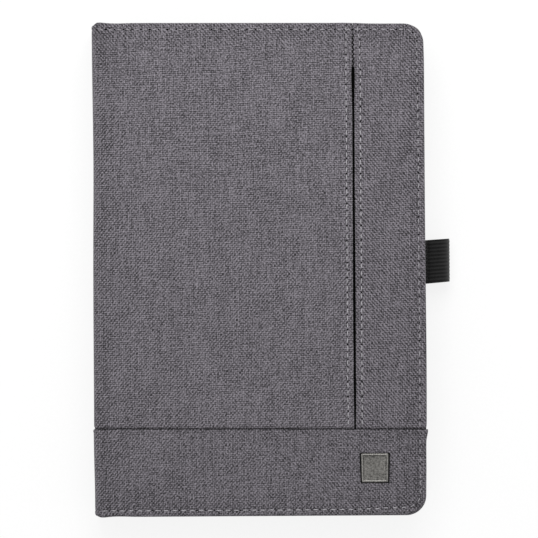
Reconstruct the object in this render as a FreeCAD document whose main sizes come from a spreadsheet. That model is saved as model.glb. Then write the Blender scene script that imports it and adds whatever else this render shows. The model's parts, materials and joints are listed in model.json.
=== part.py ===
import FreeCAD, Part
import math
import os
import re
import Sketcher

# Tablet keyboard case, closed, lying on its back cover. Millimetres.
# The origin is the centre of the back cover's outer face, +X runs to the free edge,
# +Y along the spine and +Z through the back cover towards the front cover.

SIZES = {
    # tablet and the tray that holds it
    "tablet_length": 203.2,
    "tablet_width": 134.8,
    "tablet_depth": 6.3,
    "tablet_clearance": 0.4,
    "tray_wall": 2.2,
    "tray_floor": 1.2,
    "tray_corner": 9.0,
    "pad_gauge": 0.3,
    "lip_height": 0.9,
    "lip_reach": 1.2,
    "lip_clearance": 0.1,
    "corner_grip": 34.0,
    "curb_height": 1.6,
    # cloth cover
    "end_margin": 6.8,
    "edge_margin": 3.6,
    "spine_gap": 3.6,
    "fabric_gauge": 0.8,
    "board_gauge": 1.6,
    "lining_gauge": 0.4,
    "pocket_gauge": 0.3,
    "crease_slack": 0.2,
    "crease_ease": 1.0,
    "lining_ease": 0.4,
    "cover_corner": 8.0,
    "board_gap": 0.4,
    "pocket_inset": 32.4,
    "pocket_slit": 0.8,
    "band_height": 39.4,
    # badge plate
    "badge_width": 13.3,
    "badge_height": 13.6,
    "badge_gauge": 0.9,
    "badge_corner": 0.6,
    "badge_inset": 23.7,
    "badge_rise": 21.5,
    "prong_radius": 0.5,
    "prong_spacing": 7.0,
    # elastic pen loop
    "loop_width": 19.4,
    "loop_gauge": 0.7,
    "loop_reach": 11.0,
    "loop_height": 9.6,
    "loop_lift": 0.4,
    "loop_offset": 3.7,
    "loop_tail": 9.0,
    "loop_corner": 4.6,
    "loop_root": 2.4,
    "loop_gap": 0.3,
    # easel stand and tray hinge
    "stand_margin": 15.0,
    "stand_width": 104.0,
    "stand_gap": 0.1,
    "stand_angle": 62.0,
    "running_gap": 0.2,
    "pin_radius": 0.5,
    "pin_clearance": 0.05,
    "knuckle_radius": 1.1,
    "knuckle_gap": 0.3,
    "knuckle_root": 0.7,
    "hinge_length": 150.0,
    "knuckle_count": 5.0,
    "leaf_gauge": 0.4,
    "leaf_width": 10.0,
    "lug_thickness": 3.0,
    "lug_half": 1.6,
    "strip_length": 80.0,
    "strip_width": 6.0,
    "strip_gauge": 0.8,
    "strip_inset": 3.0,
    "magnet_length": 16.0,
    "magnet_width": 5.0,
    "magnet_gauge": 1.2,
    "magnet_spacing": 35.0,
    "magnet_clearance": 0.1,
    "rivet_radius": 0.8,
    "rivet_head": 1.5,
    "rivet_rim": 0.3,
    "rivet_inner": 19.5,
    "rivet_outer": 60.0,
    # keyboard housing
    "bumper_height": 0.5,
    "bumper_radius": 2.2,
    "bumper_inset": 4.5,
    "bumper_seat": 0.4,
    "deck_wall": 1.2,
    "deck_plate": 1.0,
    "field_recess": 0.8,
    "field_border": 5.0,
    "field_start": 8.0,
    "field_margin": 0.5,
    "palm_depth": 45.5,
    "socket_clearance": 0.12,
    "base_gauge": 0.8,
    "tape_gauge": 0.2,
    "tape_inset": 6.0,
    "boss_radius": 1.7,
    "boss_inset": 1.9,
    "boss_reach": 12.0,
    "screw_radius": 0.8,
    "screw_head": 1.5,
    "screw_rim": 0.5,
    "screw_start": 0.5,
    "screw_clearance": 0.1,
    # keys
    "key_columns": 12.0,
    "letter_rows": 5.0,
    "function_pitch": 10.5,
    "key_gap": 2.2,
    "key_corner": 1.2,
    "key_clearance": 0.25,
    "flange_reach": 0.7,
    "flange_gauge": 0.5,
    "flange_gap": 0.1,
    "plate_gauge": 0.5,
    "membrane_gauge": 0.25,
    "dome_gauge": 0.4,
    "dome_top": 1.6,
    "dome_gap": 0.05,
    "dome_slope": 25.0,
    # palm rest: touchpad, button, lights and electronics
    "touchpad_length": 72.0,
    "touchpad_width": 34.0,
    "touchpad_corner": 3.0,
    "touchpad_sink": 0.1,
    "touchpad_clearance": 0.3,
    "touchpad_switch": 6.0,
    "touchpad_stroke": 0.5,
    "button_radius": 2.6,
    "button_inset": 22.0,
    "button_proud": 0.1,
    "light_radius": 0.8,
    "light_offset": 9.0,
    "light_spacing": 4.0,
    "board_edge": 3.0,
    "board_margin": 4.0,
    "board_end": 11.0,
    "circuit_gauge": 0.8,
    "chip_size": 9.0,
    "chip_height": 1.4,
    "battery_gauge": 2.6,
    # charging socket and power switch in the end wall
    "socket_width": 8.94,
    "socket_height": 3.16,
    "socket_depth": 7.4,
    "socket_wall": 0.3,
    "socket_corner": 1.3,
    "socket_offset": 12.0,
    "tongue_width": 6.7,
    "tongue_height": 0.7,
    "tongue_depth": 1.0,
    "slot_clearance": 0.15,
    "switch_length": 4.0,
    "switch_height": 1.4,
    "switch_proud": 0.8,
    "switch_travel": 2.5,
    "switch_plate": 0.9,
    "switch_cover": 3.0,
    "switch_heel": 1.0,
    # how far a cut runs past an open side
    "overshoot": 1.0,
}

# Places worked out from the sizes above.
PLACES = {
    "panel": "fabric_gauge + board_gauge + lining_gauge",
    "tray_width": "tablet_width + 2 * tablet_clearance + 2 * tray_wall",
    "tray_length": "tablet_length + 2 * tablet_clearance + 2 * tray_wall",
    "cover_width": "panel + spine_gap + tray_width + edge_margin",
    "cover_length": "tray_length + 2 * end_margin",
    "cover_left": "-cover_width / 2",
    "cover_right": "cover_width / 2",
    "cover_top": "cover_length / 2",
    "cover_bottom": "-cover_length / 2",
    "tray_left": "cover_left + panel + spine_gap",
    "tray_right": "tray_left + tray_width",
    "tray_middle": "tray_left + tray_width / 2",
    "tray_top": "tray_length / 2",
    # heights, from the back cover to the front cover
    "board_low": "fabric_gauge",
    "board_high": "fabric_gauge + board_gauge",
    "hinge_level": "panel + running_gap + knuckle_radius",
    "skirt_level": "panel + running_gap",
    "tray_under": "hinge_level + knuckle_radius",
    "tray_seat": "tray_under + tray_floor",
    "curb_level": "tray_seat + curb_height",
    "lip_level": "tray_seat + pad_gauge + tablet_depth + lip_clearance",
    "rim_level": "lip_level + lip_height",
    "bumper_face": "rim_level + running_gap",
    "deck_face": "bumper_face + bumper_height",
    "field_face": "deck_face + field_recess",
    "deck_inner": "field_face + deck_plate",
    "flange_low": "deck_inner + flange_gap",
    "flange_high": "flange_low + flange_gauge",
    "keyboard_bay": "socket_height + 2 * socket_clearance",
    "base_inner": "deck_inner + keyboard_bay",
    "base_outer": "base_inner + base_gauge",
    "front_inside": "base_outer + tape_gauge",
    "front_board_low": "front_inside + lining_gauge",
    "front_board_high": "front_board_low + board_gauge",
    "front_fabric_low": "front_board_high + pocket_gauge",
    "cover_height": "front_fabric_low + fabric_gauge",
    "plate_low": "base_inner - plate_gauge",
    "membrane_low": "plate_low - membrane_gauge",
    "dome_low": "membrane_low - dome_gauge",
    "bay_middle": "deck_inner + keyboard_bay / 2",
    # cloth panels
    "crease_radius": "panel + crease_slack",
    "crease_line": "cover_left + crease_radius",
    "crease_high": "cover_height - crease_radius",
    "hem_right": "cover_right - fabric_gauge",
    "hem_top": "cover_top - fabric_gauge",
    "hem_corner": "cover_corner - fabric_gauge",
    "board_left": "crease_line + crease_ease",
    "board_right": "hem_right - board_gap",
    "board_top": "hem_top - board_gap",
    "board_corner": "hem_corner - board_gap",
    "lining_left": "crease_line + lining_ease",
    "band_seam": "cover_bottom + band_height",
    "slit": "cover_right - pocket_inset",
    "slit_left": "slit - pocket_slit / 2",
    "slit_right": "slit + pocket_slit / 2",
    "badge_across": "cover_right - badge_inset",
    "badge_along": "cover_bottom + badge_rise",
    "spine_inside": "cover_left + panel",
    # pen loop
    "loop_low": "loop_offset - loop_width / 2",
    "loop_high": "loop_offset + loop_width / 2",
    "loop_left": "cover_right + loop_gap",
    "loop_right": "cover_right + loop_reach",
    "loop_roof": "loop_lift + loop_height",
    "tail_left": "cover_right - loop_tail",
    # stand
    "hinge_line": "tray_left - knuckle_radius - running_gap",
    "stand_reach": "(tray_right - tray_wall - stand_margin - hinge_line) / 2",
    "stand_line": "hinge_line + stand_reach",
    "stand_end": "stand_line + stand_reach",
    "stand_half": "stand_width / 2",
    "stand_gauge": "2 * (knuckle_radius - stand_gap)",
    "lug_near": "stand_half + knuckle_gap",
    "lug_far": "lug_near + lug_thickness",
    "foot_line": "hinge_line + 2 * stand_reach * cos(stand_angle)",
    "leaf_start": "tray_left",
    "leaf_end": "hinge_line + leaf_width",
    "rivet_line": "leaf_start + (leaf_end - leaf_start) / 2",
    "bore_radius": "pin_radius + pin_clearance",
    "knuckle_pitch": "hinge_length / knuckle_count",
    # keys
    "field_left": "tray_left + field_start",
    "field_right": "tray_right - palm_depth",
    "field_top": "tray_top - field_border",
    "row_pitch": "(field_right - field_left - function_pitch) / letter_rows",
    "key_pitch": "2 * field_top / key_columns",
    "screw_along": "tray_top - deck_wall - boss_inset",
    # palm rest
    "touchpad_line": "tray_right - palm_depth / 2",
    "button_along": "tray_top - button_inset",
    "circuit_left": "field_right + board_edge",
    "circuit_right": "tray_right - deck_wall - board_edge",
    "circuit_near": "touchpad_length / 2 + board_margin",
    "circuit_far": "tray_top - board_end",
    "circuit_low": "base_inner - circuit_gauge",
    "chip_low": "circuit_low - chip_height",
    "socket_line": "touchpad_line - socket_offset",
    "wall_inner": "tray_top - deck_wall",
}

# Keys of each row from the user's left to the right: the piece each belongs to and its width in
# key pitches.
KEY_ROWS = [
    [("key_row_function", 1.0)] * 12,
    [("key_row_numbers", 1.0)] * 11 + [("backspace_key", 1.0)],
    [("tab_key", 1.0)] + [("key_row_upper", 1.0)] * 11,
    [("caps_key", 1.25)] + [("key_row_home", 1.0)] * 9 + [("enter_key", 1.75)],
    [("left_shift_key", 1.75)] + [("key_row_lower", 1.0)] * 9 + [("right_shift_key", 1.25)],
    [("key_row_bottom", 1.0)] * 3 + [("key_row_bottom", 1.25), ("space_bar", 3.5), ("key_row_bottom", 1.25)]
    + [("key_row_bottom", 1.0)] * 3,
]
SPLIT_ROW = 5
SPLIT_KEY = 7

doc = FreeCAD.newDocument("tablet_keyboard_case")
sheet = doc.addObject("Spreadsheet::Sheet", "sizes")
for line, (name, number) in enumerate(SIZES.items(), start=1):
    sheet.set(f"A{line}", str(number))
    sheet.setAlias(f"A{line}", name)
doc.recompute()

nodes = {}


def bound(formula):
    """The formula with every size name pointing at its cell and every place name written out."""

    def written_out(match):
        word = match.group(0)
        if word in PLACES:
            return f"({bound(PLACES[word])})"
        if word in SIZES:
            return f"sizes.{word}"
        return word

    return re.sub(r"[a-z][a-z0-9_]*", written_out, formula)


def value(formula):
    """The number that a formula gives with the sizes in the sheet."""
    return float(sheet.evalExpression(bound(formula)))


def rectangle(left, right, bottom, top, corners=(None, None, None, None)):
    """A rectangle for a sketch; corner radii run counter-clockwise from the lower left."""
    return ("rectangle", left, right, bottom, top, corners)


def rounded(left, right, bottom, top, radius):
    """A rectangle with the same radius at every corner."""
    return rectangle(left, right, bottom, top, (radius, radius, radius, radius))


def circle(across, along, radius):
    """A circle for a sketch, by its centre and radius."""
    return ("circle", across, along, radius)


def fix(sketch, constraint, formula):
    """Add one dimension to the sketch and bind it to the formula."""
    index = sketch.addConstraint(constraint)
    name = f"size_{index}"
    sketch.renameConstraint(index, name)
    sketch.setExpression(f"Constraints.{name}", bound(formula))


def draw_circle(sketch, across, along, radius):
    """Draw a circle whose centre and radius follow the formulas."""
    x, y, size = value(across), value(along), value(radius)
    ring = sketch.addGeometry(Part.Circle(FreeCAD.Vector(x, y, 0), FreeCAD.Vector(0, 0, 1), size))
    fix(sketch, Sketcher.Constraint("DistanceX", -1, 1, ring, 3, x), across)
    fix(sketch, Sketcher.Constraint("DistanceY", -1, 1, ring, 3, y), along)
    fix(sketch, Sketcher.Constraint("Radius", ring, size), radius)


def draw_rectangle(sketch, left, right, bottom, top, corners):
    """Draw a rectangle of lines and tangent corner arcs whose edges follow the formulas."""
    x0, x1, y0, y1 = value(left), value(right), value(bottom), value(top)
    radii = [value(radius) if radius else 0.0 for radius in corners]
    points = [FreeCAD.Vector(*point) for point in ((x0, y0), (x1, y0), (x1, y1), (x0, y1))]
    ways = [FreeCAD.Vector(*way) for way in ((1, 0), (0, 1), (-1, 0), (0, -1))]
    sides = []
    arcs = []
    for side in range(4):
        turn = (side + 1) % 4
        start = points[side] + ways[side] * radii[side]
        end = points[turn] - ways[side] * radii[turn]
        sides.append(sketch.addGeometry(Part.LineSegment(start, end)))
        arc = None
        if radii[turn]:
            centre = end + ways[turn] * radii[turn]
            ring = Part.Circle(centre, FreeCAD.Vector(0, 0, 1), radii[turn])
            angle = (side - 1) * math.pi / 2
            arc = sketch.addGeometry(Part.ArcOfCircle(ring, angle, angle + math.pi / 2))
        arcs.append(arc)
    for side in range(4):
        turn = (side + 1) % 4
        if arcs[side] is None:
            sketch.addConstraint(Sketcher.Constraint("Coincident", sides[side], 2, sides[turn], 1))
        else:
            sketch.addConstraint(Sketcher.Constraint("Tangent", sides[side], 2, arcs[side], 1))
            sketch.addConstraint(Sketcher.Constraint("Tangent", arcs[side], 2, sides[turn], 1))
        level = "Horizontal" if side % 2 == 0 else "Vertical"
        sketch.addConstraint(Sketcher.Constraint(level, sides[side]))
    fix(sketch, Sketcher.Constraint("DistanceY", -1, 1, sides[0], 1, y0), bottom)
    fix(sketch, Sketcher.Constraint("DistanceX", -1, 1, sides[1], 1, x1), right)
    fix(sketch, Sketcher.Constraint("DistanceY", -1, 1, sides[2], 1, y1), top)
    fix(sketch, Sketcher.Constraint("DistanceX", -1, 1, sides[3], 1, x0), left)
    for side in range(4):
        turn = (side + 1) % 4
        if arcs[side] is not None:
            fix(sketch, Sketcher.Constraint("Radius", arcs[side], radii[turn]), corners[turn])


def new_body(label):
    """An empty body that becomes one piece of the object."""
    body = doc.addObject("PartDesign::Body", label)
    body.Label = label
    nodes[label] = body
    return body


def extrude(body, kind, plane, low, high, shapes, slope=None):
    """Pad or pocket the shapes between two levels: heights on the flat plane, +Y places on the upright."""
    upright = plane == "XZ_Plane"
    from_low = (kind == "Pad") != upright
    level = low if from_low else high
    sketch = body.newObject("Sketcher::SketchObject", f"{body.Label}_sketch")
    support = [item for item in body.Origin.OriginFeatures if item.Role == plane][0]
    sketch.AttachmentSupport = [(support, "")]
    sketch.MapMode = "FlatFace"
    offset = f"-({level})" if upright else level
    sketch.setExpression("AttachmentOffset.Base.z", bound(offset))
    for shape in shapes:
        if shape[0] == "circle":
            draw_circle(sketch, *shape[1:])
        else:
            draw_rectangle(sketch, *shape[1:])
    feature = body.newObject(f"PartDesign::{kind}", f"{body.Label}_{kind.lower()}")
    feature.Profile = sketch
    feature.setExpression("Length", bound(f"({high}) - ({low})"))
    if slope:
        feature.setExpression("TaperAngle", bound(slope))
    sketch.Visibility = False
    return feature


def pad(body, low, high, *shapes):
    """Add material between two heights."""
    return extrude(body, "Pad", "XY_Plane", low, high, shapes)


def cut(body, low, high, *shapes):
    """Take material away between two heights."""
    return extrude(body, "Pocket", "XY_Plane", low, high, shapes)


def pad_along(body, low, high, *shapes):
    """Add material between two places along Y; the shapes are drawn in X and Z."""
    return extrude(body, "Pad", "XZ_Plane", low, high, shapes)


def cut_along(body, low, high, *shapes):
    """Take material away between two places along Y; the shapes are drawn in X and Z."""
    return extrude(body, "Pocket", "XZ_Plane", low, high, shapes)


def repeat(body, features, count):
    """Repeat features along Y at the key pitch."""
    if count == 1:
        return
    pattern = body.newObject("PartDesign::LinearPattern", f"{body.Label}_repeat")
    pattern.Originals = features
    pattern.Direction = (features[0].Profile[0], ["V_Axis"])
    pattern.setExpression("Length", bound(f"{count - 1} * key_pitch"))
    pattern.Occurrences = count
    body.Tip = pattern


def place(item, across, along, height):
    """Bind an object's position to three formulas."""
    item.setExpression("Placement.Base.x", bound(across))
    item.setExpression("Placement.Base.y", bound(along))
    item.setExpression("Placement.Base.z", bound(height))


def block(label, left, right, bottom, top, low, high):
    """A box between six planes."""
    item = doc.addObject("Part::Box", label)
    item.setExpression("Length", bound(f"({right}) - ({left})"))
    item.setExpression("Width", bound(f"({top}) - ({bottom})"))
    item.setExpression("Height", bound(f"({high}) - ({low})"))
    place(item, left, bottom, low)
    return item


def post(label, across, along, low, high, radius):
    """An upright cylinder between two heights."""
    item = doc.addObject("Part::Cylinder", label)
    item.setExpression("Radius", bound(radius))
    item.setExpression("Height", bound(f"({high}) - ({low})"))
    place(item, across, along, low)
    return item


def rod(label, across, height, bottom, top, radius):
    """A cylinder along Y between two places."""
    item = doc.addObject("Part::Cylinder", label)
    item.Placement = FreeCAD.Placement(FreeCAD.Vector(), FreeCAD.Rotation(FreeCAD.Vector(1, 0, 0), -90))
    item.setExpression("Radius", bound(radius))
    item.setExpression("Height", bound(f"({top}) - ({bottom})"))
    place(item, across, bottom, height)
    return item


def join(label, items):
    """One solid made of overlapping ones."""
    item = doc.addObject("Part::MultiFuse", label)
    item.Shapes = items
    item.Refine = True
    return item


def remove(label, base, tool):
    """A solid with another one taken out of it."""
    item = doc.addObject("Part::Cut", label)
    item.Base = base
    item.Tool = tool
    return item


def group(label, items):
    """Several equal solids kept as one piece."""
    item = doc.addObject("Part::Compound", label)
    item.Links = items
    return item


def keep(label, item):
    """Name an object as one piece of the part."""
    item.Label = label
    nodes[label] = item


def sheet_piece(label, low, high, left, right, bottom, top, corners=(None, None, None, None)):
    """A flat piece of one thickness."""
    body = new_body(label)
    pad(body, low, high, rectangle(left, right, bottom, top, corners))
    return body


def key_edges(row, start, width):
    """The four edges of a key cap by its row, its start and its width in key pitches."""
    if row == 0:
        near, far = "field_left", "field_left + function_pitch"
    else:
        near = f"field_left + function_pitch + {row - 1} * row_pitch"
        far = f"field_left + function_pitch + {row} * row_pitch"
    left, right = f"{near} + key_gap / 2", f"{far} - key_gap / 2"
    bottom = f"field_top - {start + width} * key_pitch + key_gap / 2"
    top = f"field_top - {start} * key_pitch - key_gap / 2"
    return left, right, bottom, top


def grown(edges, reach):
    """The edges of a rectangle moved outwards."""
    left, right, bottom, top = edges
    return f"{left} - {reach}", f"{right} + {reach}", f"{bottom} - {reach}", f"{top} + {reach}"


# Back cover: cloth with a turned hem, board, lining.
right_corners = (None, "cover_corner", "cover_corner", None)
hem_corners = (None, "hem_corner", "hem_corner", None)
board_corners = (None, "board_corner", "board_corner", None)
loop_slot = rectangle("tail_left - running_gap", "cover_right + overshoot",
                      "loop_low - running_gap", "loop_high + running_gap")

back_fabric = new_body("back_fabric")
pad(back_fabric, "0", "panel",
    rectangle("crease_line", "cover_right", "band_seam", "cover_top",
              (None, None, "cover_corner", None)))
cut(back_fabric, "fabric_gauge", "panel",
    rectangle("crease_line - overshoot", "hem_right", "band_seam - overshoot", "hem_top",
              (None, None, "hem_corner", None)))
cut(back_fabric, "fabric_gauge", "panel", loop_slot)

back_band = new_body("back_band")
pad(back_band, "0", "panel",
    rectangle("crease_line", "cover_right", "cover_bottom", "band_seam",
              (None, "cover_corner", None, None)))
cut(back_band, "fabric_gauge", "panel",
    rectangle("crease_line - overshoot", "hem_right", "-hem_top", "band_seam + overshoot",
              (None, "hem_corner", None, None)))

rivet_places = ["-rivet_outer", "-rivet_inner", "rivet_inner", "rivet_outer"]
rivet_holes = [circle("rivet_line", along, "rivet_radius") for along in rivet_places]
rivet_seats = [circle("rivet_line", along, "rivet_head") for along in rivet_places]
magnet_places = ["-magnet_spacing", "0", "magnet_spacing"]


def magnet_shape(along, clearance):
    """The outline of one stand magnet, centred where the stand's foot comes to rest."""
    return rectangle(f"foot_line - magnet_width / 2 - {clearance}",
                     f"foot_line + magnet_width / 2 + {clearance}",
                     f"{along} - magnet_length / 2 - {clearance}",
                     f"{along} + magnet_length / 2 + {clearance}")


back_board = sheet_piece("back_board", "board_low", "board_high",
                         "board_left", "board_right", "-board_top", "board_top", board_corners)
cut(back_board, "board_low", "board_high", loop_slot)
cut(back_board, "board_high - magnet_gauge", "board_high",
    *[magnet_shape(along, "magnet_clearance") for along in magnet_places])
cut(back_board, "board_low", "board_high", *rivet_holes)
cut(back_board, "board_low", "board_low + rivet_rim", *rivet_seats)

back_lining = sheet_piece("back_lining", "board_high", "panel",
                          "lining_left", "board_right", "-board_top", "board_top", board_corners)
cut(back_lining, "board_high", "panel", *rivet_holes)

stand_magnets = new_body("stand_magnets")
pad(stand_magnets, "board_high - magnet_gauge", "board_high",
    *[magnet_shape(along, "0") for along in magnet_places])

pen_loop = new_body("pen_loop")
pad_along(pen_loop, "loop_low", "loop_high",
          rounded("loop_left", "loop_right", "loop_lift", "loop_roof", "loop_corner"))
pad_along(pen_loop, "loop_low", "loop_high",
          rectangle("tail_left", "loop_left + loop_root", "fabric_gauge", "fabric_gauge + 2 * loop_gauge"))
cut_along(pen_loop, "loop_low", "loop_high",
          rounded("loop_left + loop_gauge", "loop_right - loop_gauge", "loop_lift + loop_gauge",
                  "loop_roof - loop_gauge", "loop_corner - loop_gauge"))

# Cloth creases on either side of the spine.
quarters = {
    "crease_back": ("crease_radius", FreeCAD.Vector(0, 0, -1), FreeCAD.Vector(-1, 0, 0)),
    "crease_front": ("crease_high", FreeCAD.Vector(-1, 0, 0), FreeCAD.Vector(0, 0, 1)),
}
for label, (height, first, second) in quarters.items():
    turn = FreeCAD.Rotation(first, second, FreeCAD.Vector(0, 1, 0), "XYZ")
    strips = []
    for name, radius in (("outer", "crease_radius"), ("inner", "crease_radius - fabric_gauge")):
        strip = rod(f"{label}_{name}", "crease_line", height, "cover_bottom", "cover_top", radius)
        strip.Placement = FreeCAD.Placement(strip.Placement.Base, turn)
        strip.Angle = 90
        strips.append(strip)
    keep(label, remove(f"{label}_strip", *strips))

# Spine: cloth closed at both ends, board, lining.
spine_fabric = new_body("spine_fabric")
pad(spine_fabric, "crease_radius", "crease_high",
    rectangle("cover_left", "spine_inside", "band_seam", "cover_top"))
cut(spine_fabric, "crease_radius", "crease_high",
    rectangle("cover_left + fabric_gauge", "spine_inside + overshoot",
              "band_seam - overshoot", "hem_top"))

spine_band = new_body("spine_band")
pad(spine_band, "crease_radius", "crease_high",
    rectangle("cover_left", "spine_inside", "cover_bottom", "band_seam"))
cut(spine_band, "crease_radius", "crease_high",
    rectangle("cover_left + fabric_gauge", "spine_inside + overshoot",
              "-hem_top", "band_seam + overshoot"))

sheet_piece("spine_board", "crease_radius + crease_ease", "crease_high - crease_ease",
            "cover_left + fabric_gauge", "spine_inside - lining_gauge", "-board_top", "board_top")
sheet_piece("spine_lining", "crease_radius + lining_ease", "crease_high - lining_ease",
            "spine_inside - lining_gauge", "spine_inside", "-board_top", "board_top")

# Front cover: main cloth, side cloth beyond the pocket slit, lower band, pocket lining, board and
# lining.
front_main_fabric = new_body("front_main_fabric")
pad(front_main_fabric, "front_inside", "cover_height",
    rectangle("crease_line", "slit_left", "band_seam", "cover_top"))
cut(front_main_fabric, "front_inside", "front_fabric_low",
    rectangle("crease_line - overshoot", "slit_left + overshoot",
              "band_seam - overshoot", "hem_top"))

front_side_fabric = new_body("front_side_fabric")
pad(front_side_fabric, "front_inside", "cover_height",
    rectangle("slit_right", "cover_right", "band_seam", "cover_top",
              (None, None, "cover_corner", None)))
cut(front_side_fabric, "front_inside", "front_fabric_low",
    rectangle("slit_right - overshoot", "hem_right", "band_seam - overshoot", "hem_top",
              (None, None, "hem_corner", None)))

prongs = [f"badge_along {sign} prong_spacing / 2" for sign in "-+"]
prong_holes = [circle("badge_across", along, "prong_radius") for along in prongs]

front_band = new_body("front_band")
pad(front_band, "front_inside", "cover_height",
    rectangle("crease_line", "cover_right", "cover_bottom", "band_seam",
              (None, "cover_corner", None, None)))
cut(front_band, "front_inside", "front_fabric_low",
    rectangle("crease_line - overshoot", "hem_right", "-hem_top", "band_seam + overshoot",
              (None, "hem_corner", None, None)))
cut(front_band, "front_fabric_low", "cover_height", *prong_holes)

pocket_lining = sheet_piece("pocket_lining", "front_board_high", "front_fabric_low",
                            "board_left", "board_right", "-board_top", "board_top", board_corners)
cut(pocket_lining, "front_board_high", "front_fabric_low", *prong_holes)

sheet_piece("front_board", "front_board_low", "front_board_high",
            "board_left", "board_right", "-board_top", "board_top", board_corners)
sheet_piece("front_lining", "front_inside", "front_board_low",
            "lining_left", "board_right", "-board_top", "board_top", board_corners)

badge_plate = new_body("badge_plate")
pad(badge_plate, "cover_height", "cover_height + badge_gauge",
    rounded("badge_across - badge_width / 2", "badge_across + badge_width / 2",
            "badge_along - badge_height / 2", "badge_along + badge_height / 2", "badge_corner"))
pad(badge_plate, "front_board_high", "cover_height", *prong_holes)

# Tablet tray: four corner grips on a floor, with a skirt round the folded stand.
tray_corners = ("tray_corner", "tray_corner", "tray_corner", "tray_corner")
lugs = [
    rectangle("stand_line - lug_half", "stand_line + lug_half", "lug_near", "lug_far"),
    rectangle("stand_line - lug_half", "stand_line + lug_half", "-(lug_far)", "-(lug_near)"),
]
tablet_tray = new_body("tablet_tray")
pad(tablet_tray, "skirt_level", "rim_level",
    rectangle("tray_left", "tray_right", "-tray_top", "tray_top", tray_corners))
cut(tablet_tray, "skirt_level", "tray_under",
    rectangle("tray_left - overshoot", "tray_right - tray_wall",
              "-tray_top + tray_wall", "tray_top - tray_wall",
              (None, "tray_corner - tray_wall", "tray_corner - tray_wall", None)))
cut(tablet_tray, "tray_seat", "lip_level",
    rounded("tray_left + tray_wall", "tray_right - tray_wall",
            "-tray_top + tray_wall", "tray_top - tray_wall", "tray_corner - tray_wall"))
cut(tablet_tray, "lip_level", "rim_level",
    rounded("tray_left + tray_wall + lip_reach", "tray_right - tray_wall - lip_reach",
            "-tray_top + tray_wall + lip_reach", "tray_top - tray_wall - lip_reach",
            "tray_corner - tray_wall - lip_reach"))
cut(tablet_tray, "curb_level", "rim_level",
    rectangle("tray_left - overshoot", "tray_right + overshoot",
              "-tray_top + corner_grip", "tray_top - corner_grip"))
cut(tablet_tray, "curb_level", "rim_level",
    rectangle("tray_left + corner_grip", "tray_right - corner_grip",
              "-tray_top - overshoot", "tray_top + overshoot"))
pad(tablet_tray, "hinge_level - stand_gauge / 2", "tray_under", *lugs)
cut_along(tablet_tray, "-(lug_far)", "lug_far", circle("stand_line", "hinge_level", "pin_radius"))
cut(tablet_tray, "tray_under", "tray_seat", *rivet_holes)
cut(tablet_tray, "tray_seat - rivet_rim", "tray_seat", *rivet_seats)

tray_pad = new_body("tray_pad")
pad(tray_pad, "tray_seat", "tray_seat + pad_gauge",
    rounded("tray_left + tray_wall + board_gap", "tray_right - tray_wall - board_gap",
            "-tray_top + tray_wall + board_gap", "tray_top - tray_wall - board_gap",
            "tray_corner - tray_wall"))


def hinge_leaf(label, low, high, root_low, root_high, knuckles):
    """A leaf with its share of the knuckles, bored for the pin, and holes for the rivets."""
    solids = [block(f"{label}_plate", "leaf_start", "leaf_end",
                    "-hinge_length / 2", "hinge_length / 2", low, high)]
    for number in knuckles:
        bottom = f"-hinge_length / 2 + {number} * knuckle_pitch + knuckle_gap / 2"
        top = f"-hinge_length / 2 + {number + 1} * knuckle_pitch - knuckle_gap / 2"
        solids.append(rod(f"{label}_knuckle", "hinge_line", "hinge_level", bottom, top, "knuckle_radius"))
        solids.append(block(f"{label}_root", "hinge_line", "leaf_start + running_gap", bottom, top,
                            root_low, root_high))
    holes = [rod(f"{label}_bore", "hinge_line", "hinge_level",
                 "-hinge_length / 2 - overshoot", "hinge_length / 2 + overshoot", "bore_radius")]
    for along in rivet_places:
        holes.append(post(f"{label}_hole", "rivet_line", along,
                          f"{low} - overshoot", f"{high} + overshoot", "rivet_radius"))
    keep(label, remove(f"{label}_bored", join(f"{label}_solid", solids), join(f"{label}_holes", holes)))


hinge_leaf("hinge_base_leaf", "panel", "panel + leaf_gauge", "panel", "panel + knuckle_root", (0, 2, 4))
hinge_leaf("hinge_tray_leaf", "tray_under - leaf_gauge", "tray_under",
           "tray_under - knuckle_root", "tray_under", (1, 3))
keep("hinge_pin", rod("hinge_pin_rod", "hinge_line", "hinge_level",
                      "-hinge_length / 2", "hinge_length / 2", "pin_radius"))


def rivets(label, low, high, foot):
    """A row of rivets: a shank with a thin head at each end."""
    row = []
    for along in rivet_places:
        shank = post(f"{label}_shank", "rivet_line", along, low, high, "rivet_radius")
        heads = []
        for start in foot:
            heads.append(post(f"{label}_head", "rivet_line", along, start, f"{start} + rivet_rim",
                              "rivet_head"))
        row.append(join(f"{label}_one", [shank] + heads))
    keep(label, group(f"{label}_row", row))


rivets("base_rivets", "board_low", "panel + leaf_gauge + rivet_rim", ("board_low", "panel + leaf_gauge"))
rivets("tray_rivets", "tray_under - leaf_gauge - rivet_rim", "tray_seat",
       ("tray_under - leaf_gauge - rivet_rim", "tray_seat - rivet_rim"))

# Stand: a panel that swings on a pin in the tray's lugs, with a steel strip at its foot.
keep("stand_pin", rod("stand_pin_rod", "stand_line", "hinge_level", "-(lug_far)", "lug_far", "pin_radius"))
stand_solids = [
    block("stand_plate", "stand_line", "stand_end", "-stand_half", "stand_half",
          "hinge_level - stand_gauge / 2", "hinge_level + stand_gauge / 2"),
    rod("stand_barrel", "stand_line", "hinge_level", "-stand_half", "stand_half", "stand_gauge / 2"),
    rod("stand_foot", "stand_end", "hinge_level", "-stand_half", "stand_half", "stand_gauge / 2"),
]
strip_edges = ("stand_end - strip_inset - strip_width", "stand_end - strip_inset",
               "-strip_length / 2", "strip_length / 2")
stand_holes = [
    rod("stand_bore", "stand_line", "hinge_level", "-stand_half - overshoot", "stand_half + overshoot",
        "bore_radius"),
    block("stand_groove", *strip_edges, "hinge_level + stand_gauge / 2 - strip_gauge",
          "hinge_level + stand_gauge / 2 + overshoot"),
]
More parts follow.
